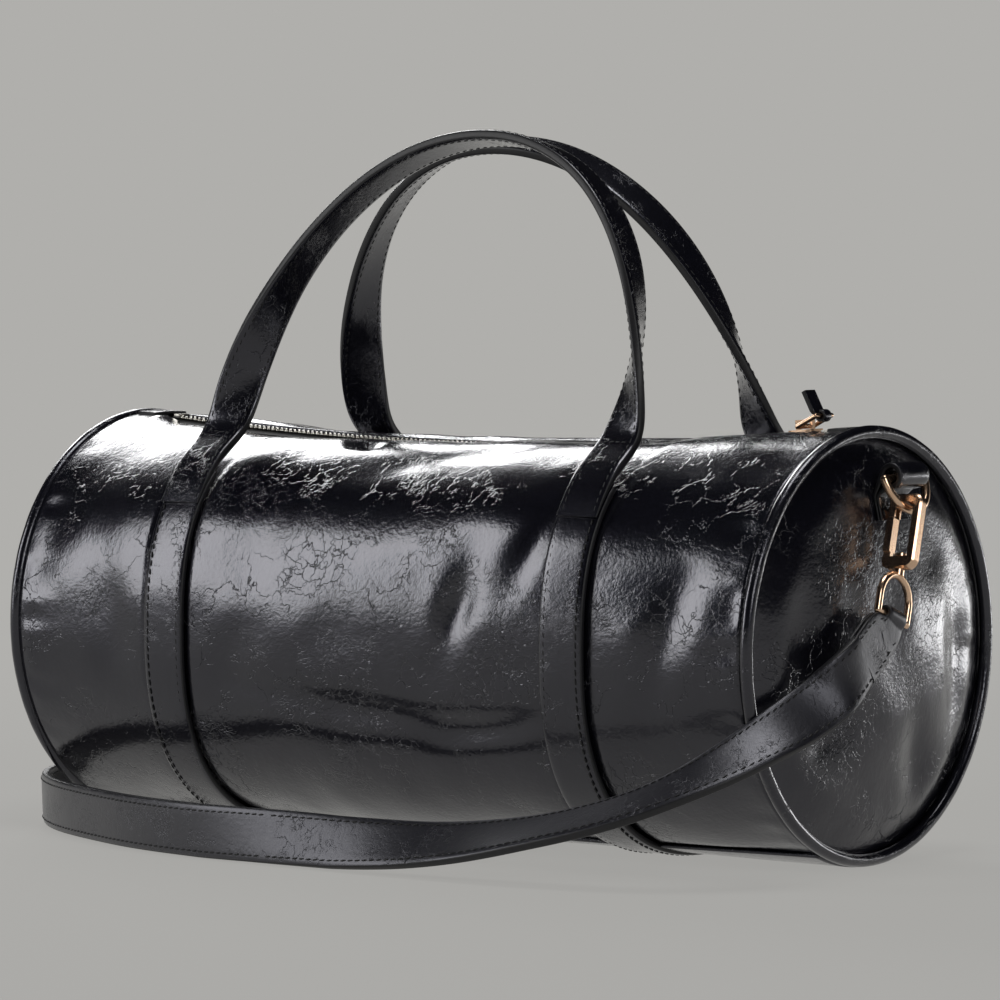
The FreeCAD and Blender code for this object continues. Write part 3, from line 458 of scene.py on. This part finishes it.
PIPING, PIPING_RING = 4.8, 78.4
spoke = np.linspace(0, 2 * np.pi, 181)[:-1]
for side, sign in SIDES:
    ring = np.linspace(0, 1, 64)[:, None] ** 0.8 * LIP_RADIUS
    y, z, rim = ring * np.cos(spoke), ring * np.sin(spoke), spoke * LIP_RADIUS
    near = 1 - (ring / LIP_RADIUS) ** 6
    gather = 0.5 * hills(rim, ring * 0, 7, 71) * np.exp(-(((LIP_RADIUS - ring) / 12) ** 2))
    puffed = 1.6 + 1.2 * hills(rim, ring * 0, 32, 77)
    gather = gather + puffed * np.exp(-(((LIP_RADIUS - 13 - ring) / 8) ** 2))
    out = DOME_X + np.sqrt(DOME**2 - ring**2) + (end_relief(y, z, 50) + gather) * near
    disc = np.stack([sign * out, sign * y, AXIS + z], -1)
    lies_on = "bag", f"{side}_end_panel", "crinkled_leather"
    piece(f"{side}_end_leather", disc, body_leather, *lies_on, closed=True, weld=True, wall=LEATHER)
    small = np.linspace(0, 2 * np.pi, 17)[:-1][None, :]
    big = np.linspace(0, 2 * np.pi, 241)[:-1][:, None]
    thick = PIPING / 2 * (1 + 0.03 * hills(big * PIPING_RING, small * 2, 5, 81))
    reach = PIPING_RING + thick * np.cos(small)
    away = sign * (HALF_LENGTH + PIPING / 2 + thick * np.sin(small))
    tube = np.stack([away, reach * np.cos(big), AXIS + reach * np.sin(big)], -1)
    tube = np.concatenate([tube, tube[:1]])
    lies_on = "bag", f"{side}_piping", "crinkled_leather"
    piece(f"{side}_piping_leather", tube, strap_leather, *lies_on, closed=True, weld=True)

# %% [markdown]
# ## Flat straps
# The straps round the barrel, the handles and the shoulder strap are all made alike: two layers of
# leather sewn back to back, pressed flat, cut clean and painted along the cut. So one ring of points
# serves them all, a flat band with a slight crown and rounded corners, and the faces on its two
# short sides take the edge paint. A path is three arrays: centres, directions across, and the way
# the band's outer side faces.

# %% Along a path
RING = 28
EDGED = strap_leather, edge_paint


def unit(vectors):
    """Vectors of the same direction, one long."""
    return vectors / np.linalg.norm(vectors, axis=-1, keepdims=True)


def outwards(x, angle):
    """The direction in which the barrel's surface faces."""
    return unit(barrel(x, angle, 4.0) - barrel(x, angle, 0.0))


def half_turn(sign, *arrays):
    """Arrays as they are, or half a turn round the upright axis for the twin piece."""
    return [array * [sign, sign, 1.0] for array in arrays]


def lengths(points):
    """How far along a path each of its points lies."""
    return np.concatenate([[0], np.cumsum(np.linalg.norm(np.diff(points, axis=0), axis=1))])


def read_at(values, run, at):
    """Columns of values that are known along a run, read at other places."""
    return np.stack([np.interp(at, run, column) for column in values.T], -1)


def soften(values, blur):
    """A moving mean of each column, that leaves the two ends where they are."""
    weights = np.hanning(2 * blur + 1)
    padded = np.pad(values, ((blur, blur), (0, 0)), mode="reflect", reflect_type="odd")
    return np.stack([np.convolve(c, weights / weights.sum(), "valid") for c in padded.T], -1)


def smooth_path(points, count, blur):
    """A path spaced evenly and then softened, and how far along each point lies."""
    run = lengths(points)
    even = np.linspace(0, run[-1], count)
    return soften(read_at(points, run, even), blur), even


# %% A band's ring and its thread
def band_ring(width, thick):
    """Points round a flat band's section: across and outwards, with a crown and round corners."""
    turn = np.linspace(0, 2 * np.pi, RING + 1)[:-1] + np.pi / RING
    across, out = np.cos(turn), np.sin(turn)
    across = np.sign(across) * np.abs(across) ** 0.3
    out = np.sign(out) * np.abs(out) ** 0.45
    return width / 2 * across, thick / 2 * out


def paint_edges(made):
    """Gives the faces on the two short sides of a band, and its ends, its second material."""
    count = len(made.data.polygons)
    column = np.arange(count) % RING
    middle = (column + 1) / RING * 2 * np.pi
    edge = np.abs(np.sin(middle)) < 0.52
    edge[count - 2 :] = True
    made.data.polygons.foreach_set("material_index", edge.astype(np.int32))


def band(name, path, width, thick, body, node=None, slot="strap_leather", leather=strap_leather):
    """A flat band carried along a path, with painted edges."""
    centres, sides, faces = path
    across, out = band_ring(1.0, 1.0)
    width, thick = (np.broadcast_to(size, len(centres))[:, None] for size in (width, thick))
    points = centres[:, None] + (width * across)[..., None] * sides[:, None]
    points = points + (thick * out)[..., None] * faces[:, None]
    made = piece(name, points, (leather, edge_paint), body, node, slot, closed=True, caps=True)
    paint_edges(made)
    return made


def thread(name, path, across, out, body, slot="strap_leather", pitch=3.3, size=0.36):
    """Rows of stitches: a slim grain each pitch, at places across and heights on a band."""
    centres, sides, faces = path
    run = lengths(centres)
    at = np.arange(pitch, run[-1] - pitch / 2, pitch)
    place, side, face = (read_at(values, run, at) for values in (centres, sides, faces))
    side, face = unit(side), unit(face)
    bow, around = np.linspace(0, np.pi, 5)[:, None], np.linspace(0, 2 * np.pi, 7)[:-1]
    long = -np.cos(bow) * pitch * 0.4 + 0 * around
    wide = np.sin(bow) * np.cos(around) * size + 0.12 * long
    deep = np.sin(bow) * np.sin(around) * size
    spread = lambda shape, way: shape[None, ..., None] * way[:, None, None]
    stitch = spread(long, np.cross(side, face)) + spread(wide, side) + spread(deep, face)
    read = lambda value: np.interp(at, run, np.broadcast_to(value, len(run)))[:, None]
    rows = [place + side * read(a) + face * read(h) for a in across for h in out]
    rows = np.concatenate([row[:, None, None] + stitch for row in rows])
    return piece(name, rows, waxed_thread, body, None, slot, closed=True)


# %% [markdown]
# ## Straps round the barrel
# Each girth strap runs from one handle's foot, under the base, to the other's. It lies on the
# panels, so its ring is worked out on the barrel's own surface: across is along the barrel and
# outwards is the surface pushed out.

# %% Girth straps
SEAM_GAP, FOOT, GIRTH_START = 0.1, 42.0, 19
across, out = band_ring(GIRTH_WIDTH, GIRTH)
for side, sign in SIDES:
    place = sign * GIRTH_PLACE
    start = angle_at_side(place, FOOT + GIRTH_START)
    turn = np.linspace(start, 2 * np.pi - start, 220)
    ring = barrel(place + across[None, :], turn[:, None], SEAM_GAP + GIRTH / 2 + out[None, :])
    lies_on = "bag", f"{side}_girth_strap", "strap_leather"
    made = piece(f"{side}_girth_leather", ring, EDGED, *lies_on, closed=True, caps=True)
    paint_edges(made)
    sides = np.tile([1.0, 0, 0], (len(turn), 1))
    path = barrel(place, turn, SEAM_GAP + GIRTH), sides, outwards(place, turn)
    thread(f"{side}_girth_thread", path, (-7.2, 7.2), (-0.12,), "bag")

# %% [markdown]
# ## Handles
# A handle is the same band. Its feet lie flat on the girth straps; then it stands up and turns a
# quarter, so that over the hand its broad side faces along the arm. The outward face of the front
# handle's feet becomes the inner side of its arch; the back handle turns the other way. It bends
# where it leaves the bag.

# %% Handles that rise from their feet
FOOT_Y, FOOT_Z, RISE = 44.214, 155.396, 114.5
HANDLE, HANDLE_END, POWER, TWIST = 4.0, 0.6, 2.06, 0.78
LAP, HANDLE_BLUR, BAR_STITCH = (28, 12), 13, 26
# Side, sign, how far the arch leans to the right, and how many degrees it leans over the zip
HANDLES = ("front", 1, 17.0, 11.3), ("back", -1, 5.0, 15.5)


def handle_path(shift, lean, way):
    """The front handle's path from lap to lap, and how far along each point lies."""
    angle = np.linspace(0, np.pi, 181)
    across, up = np.cos(angle), np.sin(angle)
    reach = (np.abs(across) ** POWER + np.abs(up) ** POWER) ** (-1 / POWER)
    arch = [-GIRTH_PLACE * reach * across + shift * up, 0 * up, RISE * reach * up]
    arch = np.stack(arch, -1)
    turned = np.pi / 2 * (1 - (1 - np.clip(arch[:, 2] / (TWIST * RISE), 0, 1)) ** 2)
    inward = -np.cross(unit(np.gradient(arch, axis=0)), [0.0, 1, 0])
    face = -np.cos(turned)[:, None] * [0.0, 1, 0] + way * np.sin(turned)[:, None] * inward
    c, s = np.cos(lean), np.sin(lean)
    tilt = np.array([[1, 0, 0], [0, c, s], [0, -s, c]])
    arch, face = arch @ tilt.T + [0, -FOOT_Y, FOOT_Z], face @ tilt.T
    keep = arch[:, 2] > FOOT_Z - 1
    turn = np.linspace(*(angle_at_side(GIRTH_PLACE, FOOT + reach) for reach in LAP), 14)
    lift = SEAM_GAP + GIRTH + 0.5 + 1.2 * np.linspace(0, 1, 14)
    first, last = (barrel(sign * GIRTH_PLACE, turn, lift) for sign in (-1, 1))
    facing = outwards(GIRTH_PLACE, turn)
    centres = np.concatenate([first, arch[keep], last[::-1]])
    faces = np.concatenate([facing, face[keep], facing[::-1]])
    run = lengths(centres)
    even = np.linspace(0, run[-1], 300)
    centres, faces = (soften(read_at(v, run, even), HANDLE_BLUR) for v in (centres, faces))
    ahead = unit(np.gradient(centres, axis=0))
    faces = unit(faces - (faces * ahead).sum(1, keepdims=True) * ahead)
    return (centres, np.cross(ahead, faces), faces), even


for side, sign, shift, lean in HANDLES:
    path, run = handle_path(shift, np.radians(lean), sign)
    path = half_turn(sign, *path)
    ends = np.minimum(run, run[-1] - run)
    thick = HANDLE_END + (HANDLE - HANDLE_END) * np.clip(ends / 24, 0, 1)
    width = GIRTH_WIDTH - 0.6 - 2.2 * np.clip((ends - 30) / 70, 0, 1)
    made = band(f"{side}_handle_leather", path, width, thick, None, f"{side}_handle")
    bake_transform(made)
    edge, skin = width / 2 - 2.1, thick / 2 - 0.2
    sewn = thread(f"{side}_handle_thread", path, (-edge, edge), (-skin, skin), None)
    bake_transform(sewn)
    for name, end in (("first", BAR_STITCH), ("second", -1 - BAR_STITCH)):
        centre, across, face = (line[end] for line in path)
        bar = centre + np.linspace(-7, 7, 9)[:, None] * across
        ways = [np.tile(way, (9, 1)) for way in (np.cross(face, across), face)]
        name, skin = f"{side}_handle_{name}_bar_thread", thick[end] / 2 - 0.15
        thread(name, (bar, *ways), (0.0,), (skin,), "bag", pitch=2.8)

# %% [markdown]
# ## Ring tabs and strap ends
# A leather tab folds round the D-ring's bar and both its ends are sewn on the end panel. The strap's
# end folds round the clasp's eye in the same way and is sewn to itself. Both are bands whose path
# goes out, round a bar and back, so the fold is real and the bar can be seen in it.

# %% Tabs that hold the D-rings
RING_BAR, TAB_WIDTH, TAB_FOLD, TAB_TAIL = np.array([186.433, 4.0, 142.5]), 19.0, 3.9, (127.2, 136.0)


def dome_x(z, out):
    """How far along the bag the right end's dome stands at a height, pushed outwards."""
    return DOME_X + np.sqrt((DOME + out) ** 2 - (z - AXIS) ** 2)


tail = np.linspace(*TAB_TAIL, 6)
inner, outer = (np.stack([dome_x(tail, out), tail], -1) for out in (0.75, 1.95))
wrap = np.radians(np.linspace(165, -115, 24))
fold = RING_BAR[[0, 2]] + [0.3, 1.1] + TAB_FOLD * np.stack([np.cos(wrap), np.sin(wrap)], -1)
route, even = smooth_path(np.concatenate([inner, fold, outer[::-1]]), 90, 3)
ahead = unit(np.gradient(route, axis=0))
centres = np.stack([route[:, 0], 0 * even + RING_BAR[1], route[:, 1]], -1)
faces = np.stack([-ahead[:, 1], 0 * even, ahead[:, 0]], -1)
sides = np.tile([0.0, 1, 0], (len(even), 1))
close = np.minimum(even, even[-1] - even)
thick = 1.1 + 1.4 * np.clip((close - 6) / 8, 0, 1)
for side, sign in SIDES:
    path = half_turn(sign, centres, sides, faces)
    lies_on = "bag", f"{side}_ring_tab", "crinkled_leather"
    band(f"{side}_tab_leather", path, TAB_WIDTH, thick, *lies_on)
    outer = [line[60:90] for line in path]
    sewn_on = "bag", "crinkled_leather"
    thread(f"{side}_tab_thread", outer, (-7.6, 7.6), (0.55,), *sewn_on, pitch=2.8)

# %% Folded ends of the shoulder strap
HOOK = np.array([190.869, -0.309, 131.522])
CLASP_UP = np.array([-0.06555, 0.34202, 0.937404])
CLASP_SIDE = np.array([0.0, 0.939693, -0.34202])
CLASP_OUT = np.cross(CLASP_SIDE, CLASP_UP)
EYE_DROP, EYE_FOLD, EYE_WIDTH, PLY = 41.2, 2.55, 11.0, 1.8
END_LEAN, END_LENGTH, STRAP_WIDTH, STRAP = np.radians(36.0), 26.0, 20.0, 4.0
EYE_BAR = HOOK - EYE_DROP * CLASP_UP
END_DOWN = -np.cos(END_LEAN) * CLASP_UP - np.sin(END_LEAN) * CLASP_SIDE
END_SIDE = np.cross(-END_DOWN, CLASP_OUT)
away = np.linspace(END_LENGTH, 9.0, 12)
apart = 1.0 + 0 * away
wrap = np.radians(np.linspace(-60, 240, 30))
round_bar = np.stack([EYE_FOLD * np.cos(wrap), -EYE_FOLD * np.sin(wrap)], -1)
plies = np.stack([apart, away], -1), np.stack([-apart, away[::-1]], -1)
route, even = smooth_path(np.concatenate([plies[0], round_bar, plies[1]]), 110, 3)
reach = np.clip(route[:, 1] / 12, 0, 1)[:, None]
sides = unit(CLASP_SIDE * (1 - reach) + END_SIDE * reach)
below = END_DOWN * reach - CLASP_UP * (1 - reach)
drop = route[:, 1:] * np.where(route[:, 1:] > 0, below, -CLASP_UP)
centres = EYE_BAR + route[:, :1] * CLASP_OUT + drop
ahead = unit(np.gradient(centres, axis=0))
faces = unit(np.cross(ahead, sides))
sides = np.cross(faces, ahead)
taper = np.clip(route[:, 1] / 16, 0, 1)
width = EYE_WIDTH + (STRAP_WIDTH - EYE_WIDTH) * taper**2 * (3 - 2 * taper)
for side, sign in SIDES:
    path = half_turn(sign, centres, sides, faces)
    hangs_on = f"{side}_ring", f"{side}_strap_end"
    band(f"{side}_strap_end_leather", path, width, PLY, *hangs_on, leather=shoulder_leather)
    for first, last in ((0, 38), (72, 110)):
        edge, name = (width / 2 - 2.2)[first:last], f"{side}_strap_end_thread_{first}"
        ply = [line[first:last] for line in path]
        thread(name, ply, (-edge, edge), (-0.8, 0.8), f"{side}_ring")

# %% [markdown]
# ## Shoulder strap
# The strap is about a metre long. It drops from the right clasp, lies on its edge in front of the
# bag, turns round the left end and climbs to the other clasp from behind. Its route is a NURBS
# spline whose control points lie where the solid's do, so it bends as leather does, without corners.
# The band is rolled back where it climbs. It is made in two halves, which meet where it lies on
# the floor.

# %% Route of the strap
ROUTE = (
    (194.9, -34.7, 79.25), (195.5, -45.1, 72.3), (188.6, -57.0, 61.6), (183.5, -83.0, 50.6),
    (170.5, -103.0, 39.0), (148.0, -117.0, 27.6), (114.0, -124.5, 18.4), (74.0, -127.5, 11.8),
    (36.0, -129.5, 10.2), (-4.0, -130.0, 10.2), (-42.0, -127.5, 10.2), (-78.0, -119.5, 10.2),
    (-112.0, -105.0, 10.2), (-144.0, -88.5, 10.2), (-169.5, -67.6, 10.2), (-186.5, -44.2, 10.2),
    (-195.5, -18.0, 10.2), (-196.5, 11.0, 10.2), (-193.5, 39.0, 10.2), (-186.0, 64.0, 10.2),
    (-171.0, 83.0, 10.2), (-149.0, 94.0, 10.2), (-124.0, 98.0, 10.2), (-101.0, 98.0, 10.2),
    (-80.7, 97.2, 10.2), (-72.1, 103.5, 10.2), (-68.8, 113.6, 10.2), (-72.1, 123.7, 10.2),
    (-80.7, 130.0, 10.2), (-98.0, 130.0, 11.6), (-121.0, 128.0, 17.4), (-144.0, 120.0, 25.6),
    (-165.0, 106.0, 36.4), (-183.5, 87.5, 48.8), (-190.2, 59.5, 61.0), (-195.5, 45.1, 72.3),
    (-194.9, 34.7, 79.25),
)


def spline_points(route):
    """Points along a smooth NURBS spline whose control points are the route's."""
    curve = bpy.data.curves.new("route", "CURVE")
    curve.dimensions = "3D"
    curve.resolution_u = 24
    spline = curve.splines.new("NURBS")
    spline.points.add(len(route) - 1)
    controls = np.column_stack([np.array(route) * MM, np.ones(len(route))])
    spline.points.foreach_set("co", controls.ravel())
    spline.order_u = 3
    spline.use_endpoint_u = True
    holder = bpy.data.objects.new("route", curve)
    line = bpy.data.meshes.new_from_object(holder)
    points = np.empty(len(line.vertices) * 3)
    line.vertices.foreach_get("co", points)
    bpy.data.objects.remove(holder)
    bpy.data.meshes.remove(line)
    return points.reshape(-1, 3) / MM


line = spline_points(ROUTE)
run = lengths(line)
even = np.linspace(0, run[-1], 520)
line = read_at(line, run, even)
print(f"strap between its ends: {run[-1]:.0f} mm")

# %% The two halves of the strap
# Share of the strap's length, and degrees by which its upper edge is rolled back there
ROLL = (
    (0, 0), (0.012, 4), (0.035, 34), (0.06, 56), (0.1, 65), (0.16, 62), (0.21, 45), (0.26, 20),
    (0.33, -2), (0.86, -2), (0.94, -30), (1, 0),
)
HALF_WAY, STRAP_CLIMBS = (-4.0, -130.0, 10.2), (0.02, 0.066)
ahead = unit(np.gradient(line, axis=0))
upright = unit(np.array([0.0, 0, 1]) - ahead[:, 2:] * ahead)
outward = np.cross(ahead, upright)
roll = np.radians(np.interp(even / even[-1], *np.transpose(ROLL)))
roll = np.convolve(np.pad(roll, 9, mode="edge"), np.hanning(19) / np.hanning(19).sum(), "valid")
sides = unit(np.cos(roll)[:, None] * upright + np.sin(roll)[:, None] * outward)
faces = np.cross(sides, ahead)
level = STRAP_WIDTH / 2 * np.abs(sides[:, 2]) + STRAP / 2 * np.abs(faces[:, 2])
line[:, 2] = np.maximum(line[:, 2], level + 0.3)
middle = int(np.argmin(np.linalg.norm(line - HALF_WAY, axis=1)))
halves = {"right": slice(0, middle + 1), "left": slice(middle, len(line))}
for side, part in halves.items():
    name, half = f"{side}_strap_leather", [values[part] for values in (line, sides, faces)]
    sizes, skin = (STRAP_WIDTH, STRAP - 0.1), STRAP / 2 - 0.1
    made = band(name, half, *sizes, None, "shoulder_strap", leather=shoulder_leather)
    path = line[part] if side == "right" else line[part][::-1]
    sewn = thread(f"{side}_strap_thread", half, (-7.6, 7.6), (-skin, skin), None)
    for item in (made, sewn):
        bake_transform(item)

# %% [markdown]
# ## The zip
# The chain runs along the sagging arc: cloth tapes under the leather's lips, two rows of small
# rounded teeth, a slider and a leather pull. One tooth is a pebble with squared sides, repeated
# along the arc and set half a step apart on the two sides, as they mesh on the real thing.

# %% Tapes and teeth
TAPE_TOP, TAPE, TAPE_GAP, TAPE_WIDTH, TAPE_HALF = 1.7, 0.8, 1.0, 13.0, 166.2
TOOTH_SIZE, TOOTH_PITCH, TOOTH_GAP, TEETH_HALF = (1.3, 2.5, 1.6), 2.25, 0.7, 154.0
chain = SAG_RADIUS + TAPE_TOP
x = np.linspace(-TAPE_HALF, TAPE_HALF, 160)
ring_across, ring_out = band_ring(TAPE_WIDTH, TAPE)
bow, turn = np.linspace(0.12, np.pi - 0.12, 5)[:, None], np.linspace(0, 2 * np.pi, 9)[:-1]
pebble = np.sin(bow) * np.cos(turn), np.sin(bow) * np.sin(turn), -np.cos(bow) + 0 * turn
squared = [np.sign(way) * np.abs(way) ** 0.5 for way in pebble]
tooth = np.stack([size / 2 * way for size, way in zip(TOOTH_SIZE, squared)], -1)
for side, sign in (("front", -1), ("back", 1)):
    lean = np.arcsin(x / (chain + TAPE / 2))
    drop = (chain + TAPE / 2) * np.cos(lean)
    centre = [x, 0 * x + sign * (TAPE_GAP + TAPE_WIDTH / 2), SAG_CENTRE - drop]
    up = np.stack([-np.sin(lean), 0 * lean, np.cos(lean)], -1)
    under_lip = 2.2 * np.exp(-(((ring_across * sign - 0.7) / 2.6) ** 2)) * (sign < 0)
    strip = np.stack(centre, -1)[:, None] + ring_across[None, :, None] * np.array([0.0, 1, 0])
    strip = strip + (ring_out - under_lip)[None, :, None] * up[:, None]
    lies_on = "bag", f"{side}_zip_tape", "zip_tape"
    piece(f"{side}_tape_cloth", strip, zip_cloth, *lies_on, closed=True, caps=True, weld=True)
    place = (0 if sign < 0 else TOOTH_PITCH / 2) - TEETH_HALF
    place = place + TOOTH_PITCH * np.arange(int(2 * TEETH_HALF / TOOTH_PITCH))
    lean = (place / chain)[:, None, None]
    seat = [0, sign * (TOOTH_GAP + TOOTH_SIZE[1] / 2), TOOTH_SIZE[2] / 2 + 0.1]
    ahead, across, up = np.moveaxis(tooth + seat, -1, 0)
    rows = [
        (chain - up) * np.sin(lean) + ahead * np.cos(lean),
        across + 0 * lean,
        SAG_CENTRE - (chain - up) * np.cos(lean) + ahead * np.sin(lean),
    ]
    lies_on = "bag", f"{side}_zip_teeth", "zip_teeth"
    rows = np.stack(rows, -1)
    piece(f"{side}_teeth_metal", rows, bright_nickel, *lies_on, closed=True, caps=True)

# %% Leather over the zip's ends, and its pull
END_TAB_LENGTH, END_TAB_HALF, END_TAB = 9.0, 9.5, 1.2
turn = np.linspace(-END_TAB_HALF, END_TAB_HALF, 41) / RADIUS
across, out = band_ring(END_TAB_LENGTH, END_TAB)
for side, sign in SIDES:
    place = sign * (ZIP_HALF + END_TAB_LENGTH / 2)
    patch = barrel(place + across[None, :], turn[:, None], SEAM_GAP + END_TAB / 2 + out[None, :])
    lies_on = "bag", f"{side}_zip_end_tab", "crinkled_leather"
    made = piece(f"{side}_end_tab_leather", patch, EDGED, *lies_on, closed=True, caps=True)
    paint_edges(made)
PULL_BAR, PULL_LINE = np.array([153.64, 0.0, 164.77]), np.array([-0.471, 0.0, 0.882])
PULL_OUT, PULL_FOLD = np.array([-PULL_LINE[2], 0.0, PULL_LINE[0]]), 1.8
leaf = np.linspace(11.0, 0.5, 9)
wrap = np.radians(np.linspace(0, -250, 24))
wrap = PULL_FOLD * np.stack([np.cos(wrap), np.sin(wrap)], -1)
route = np.concatenate([np.stack([0 * leaf + PULL_FOLD, leaf], -1), wrap])
route, even = smooth_path(route, 60, 2)
fold = np.clip((even - 8) / 3, 0, 1)
centres = PULL_BAR + route[:, 1:] * PULL_LINE + route[:, :1] * PULL_OUT
sides = np.tile([0.0, 1, 0], (len(centres), 1))
path = centres, sides, np.cross(unit(np.gradient(centres, axis=0)), sides)
sizes = 7.0 - 2.6 * fold, 2.2 - 1.0 * fold
band("pull_tab_leather", path, *sizes, "zip_pull", "zip_pull_tab", "crinkled_leather")

# %% [markdown]
# ## Lining and fittings
# The lining only shows when the bag is opened, yet it is there: a cloth sleeve and two discs. The
# metal pieces are the solids themselves, which already have their real form, so they only take
# their plating.

# %% Lining
LINING_HALF, LINING_SLIT, LINING_IN, LINING_END = 166.3, 10.2, -2.6, 166.95
x = np.linspace(-LINING_HALF, LINING_HALF, 61)[:, None]
slit = angle_at_side(x, LINING_SLIT)
turn = slit + (2 * np.pi - 2 * slit) * np.linspace(0, 1, 121)[None, :]
lies_on = "bag", "lining_sleeve", "lining_cloth"
piece("lining_sleeve_cloth", barrel(x, turn, LINING_IN), lining_cloth, *lies_on, wall=0.6)
ring = np.linspace(0, 1, 12)[:, None] * LIP_RADIUS
y, z = ring * np.cos(spoke), ring * np.sin(spoke)
for side, sign in SIDES:
    disc = np.stack([0 * y + sign * LINING_END, sign * y, AXIS + z], -1)
    lies_on = "bag", f"{side}_lining_end", "lining_cloth"
    piece(f"{side}_lining_end_cloth", disc, lining_cloth, *lies_on, closed=True, weld=True, wall=0.5)

# %% Plated fittings
plated = ["zip_slider", "zip_pull_link"]
for side, _ in SIDES:
    names = "d_ring", "clasp_frame", "gate", "gate_pin", "swivel_eye"
    plated += [f"{side}_{name}" for name in names]
for name in plated + ["zip_top_stop", "zip_bottom_stop"]:
    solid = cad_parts[name]
    solid.data.materials.clear()
    solid.data.materials.append(bright_nickel if "stop" in name else pale_gold)
print(len(plated), "plated fittings")

# %% [markdown]
# ## Studio
# Black glazed leather shows hardly any colour of its own: its look is what it mirrors. A broad soft
# light behind and above draws the white line along the top, and one at the front left gives the grey
# patches. A low light at the side draws the edge of the right end, a fill light and a top light lift
# that end and the strap, and the pale floor fills the lower half. The backdrop is an even grey.

# %% Floor and backdrop
BACKDROP, ROOM = "#b0afac", "#0e0e10"
floor_mesh = bpy.data.meshes.new("floor")
corners = [(-30, -30, 0), (30, -30, 0), (30, 30, 0), (-30, 30, 0)]
floor_mesh.from_pydata(corners, [], [(0, 1, 2, 3)])
floor = bpy.data.objects.new("floor", floor_mesh)
bpy.context.collection.objects.link(floor)
floor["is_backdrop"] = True
paper, tree, shader = finish("backdrop paper")
dial(shader, Base_Color=colour(BACKDROP), Roughness=0.9)
# Seen by the camera, in a mirror or through glass, the paper is an even grey, a bit darker near the bag
flat = add(tree, "Emission", Color=colour(BACKDROP), Strength=1.0)
rays = add(tree, "LightPath")
seen = combine(tree, "ADD", rays.outputs["Is Camera Ray"], rays.outputs["Is Glossy Ray"])
seen = add(tree, "Math", {"use_clamp": True}, i0=seen, i1=rays.outputs["Is Transmission Ray"])
place = add(tree, "TexCoord").outputs["Object"]
away = add(tree, "VectorMath", {"operation": "LENGTH"}, i0=place)
even_out = {"Value": away.outputs["Value"], "From_Min": 0.35, "From_Max": 1.3}
even_out = add(tree, "MapRange", SOFT_STEP, **even_out, To_Min=0.8, To_Max=1.0)
part = combine(tree, "MULTIPLY", seen.outputs[0], even_out.outputs[0])
both = add(tree, "MixShader", i0=part, i1=shader.outputs[0], i2=flat.outputs[0])
tree.links.new(both.outputs[0], tree.nodes["Material Output"].inputs["Surface"])
floor_mesh.materials.append(paper)

world = bpy.data.worlds.new("studio")
world.use_nodes = True
bpy.context.scene.world = world
tree = world.node_tree
way_up = add(tree, "SeparateXYZ", Vector=add(tree, "TexCoord").outputs["Generated"])
ceiling = add(tree, "MapRange", SOFT_STEP, Value=way_up.outputs["Z"], From_Min=0.05, From_Max=0.13)
two_tone(tree, ceiling.outputs[0], BACKDROP, ROOM, tree.nodes["Background"].inputs["Color"])
print("floor and backdrop in", BACKDROP)


# %% Lights
def face_towards(item, place, aim):
    """Puts a light or the camera at a place, turned towards an aim."""
    item.location = place
    item.rotation_euler = (Vector(aim) - Vector(place)).to_track_quat("-Z", "Y").to_euler()
    bpy.context.collection.objects.link(item)


def softbox(name, place, aim, size, power):
    """A rectangular soft light that shines from a place towards an aim."""
    lamp = bpy.data.lights.new(name, "AREA")
    lamp.shape = "RECTANGLE"
    lamp.size, lamp.size_y = size
    lamp.energy = power
    holder = bpy.data.objects.new(name, lamp)
    holder.visible_camera = False
    face_towards(holder, place, aim)
    print(f"{name}: {power} W")


softbox("back light", (-1.25, 0.81, 0.95), (0, 0, 0.12), (0.85, 0.66), 12.5)
softbox("front light", (-1.06, -1.1, 0.62), (0, 0, 0.12), (0.62, 0.9), 8)
softbox("side light", (0.44, 0.75, 0.06), (0.18, 0.03, 0.05), (0.36, 0.1), 0.5)
softbox("fill light", (1.5, -0.7, 0.8), (0.15, 0, 0.1), (0.6, 0.6), 5)
softbox("top light", (0.2, 0.06, 1.5), (0.18, 0, 0), (0.6, 0.6), 7)

# %% Camera
camera = bpy.data.objects.new("camera", bpy.data.cameras.new("camera"))
camera.data.lens = 210.6
face_towards(camera, (1.3662, -1.7753, 0.2312), (0.004, 0, 0.1296))
bpy.context.scene.camera = camera
bpy.context.scene.view_settings.view_transform = "Standard"
print(f"camera with a {camera.data.lens:.0f} mm lens")

# %% Print the two boxes, and finish
boxes = {"cad": [list(corner) for corner in cad_box], "visual": [list(corner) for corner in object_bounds()]}
print(boxes)
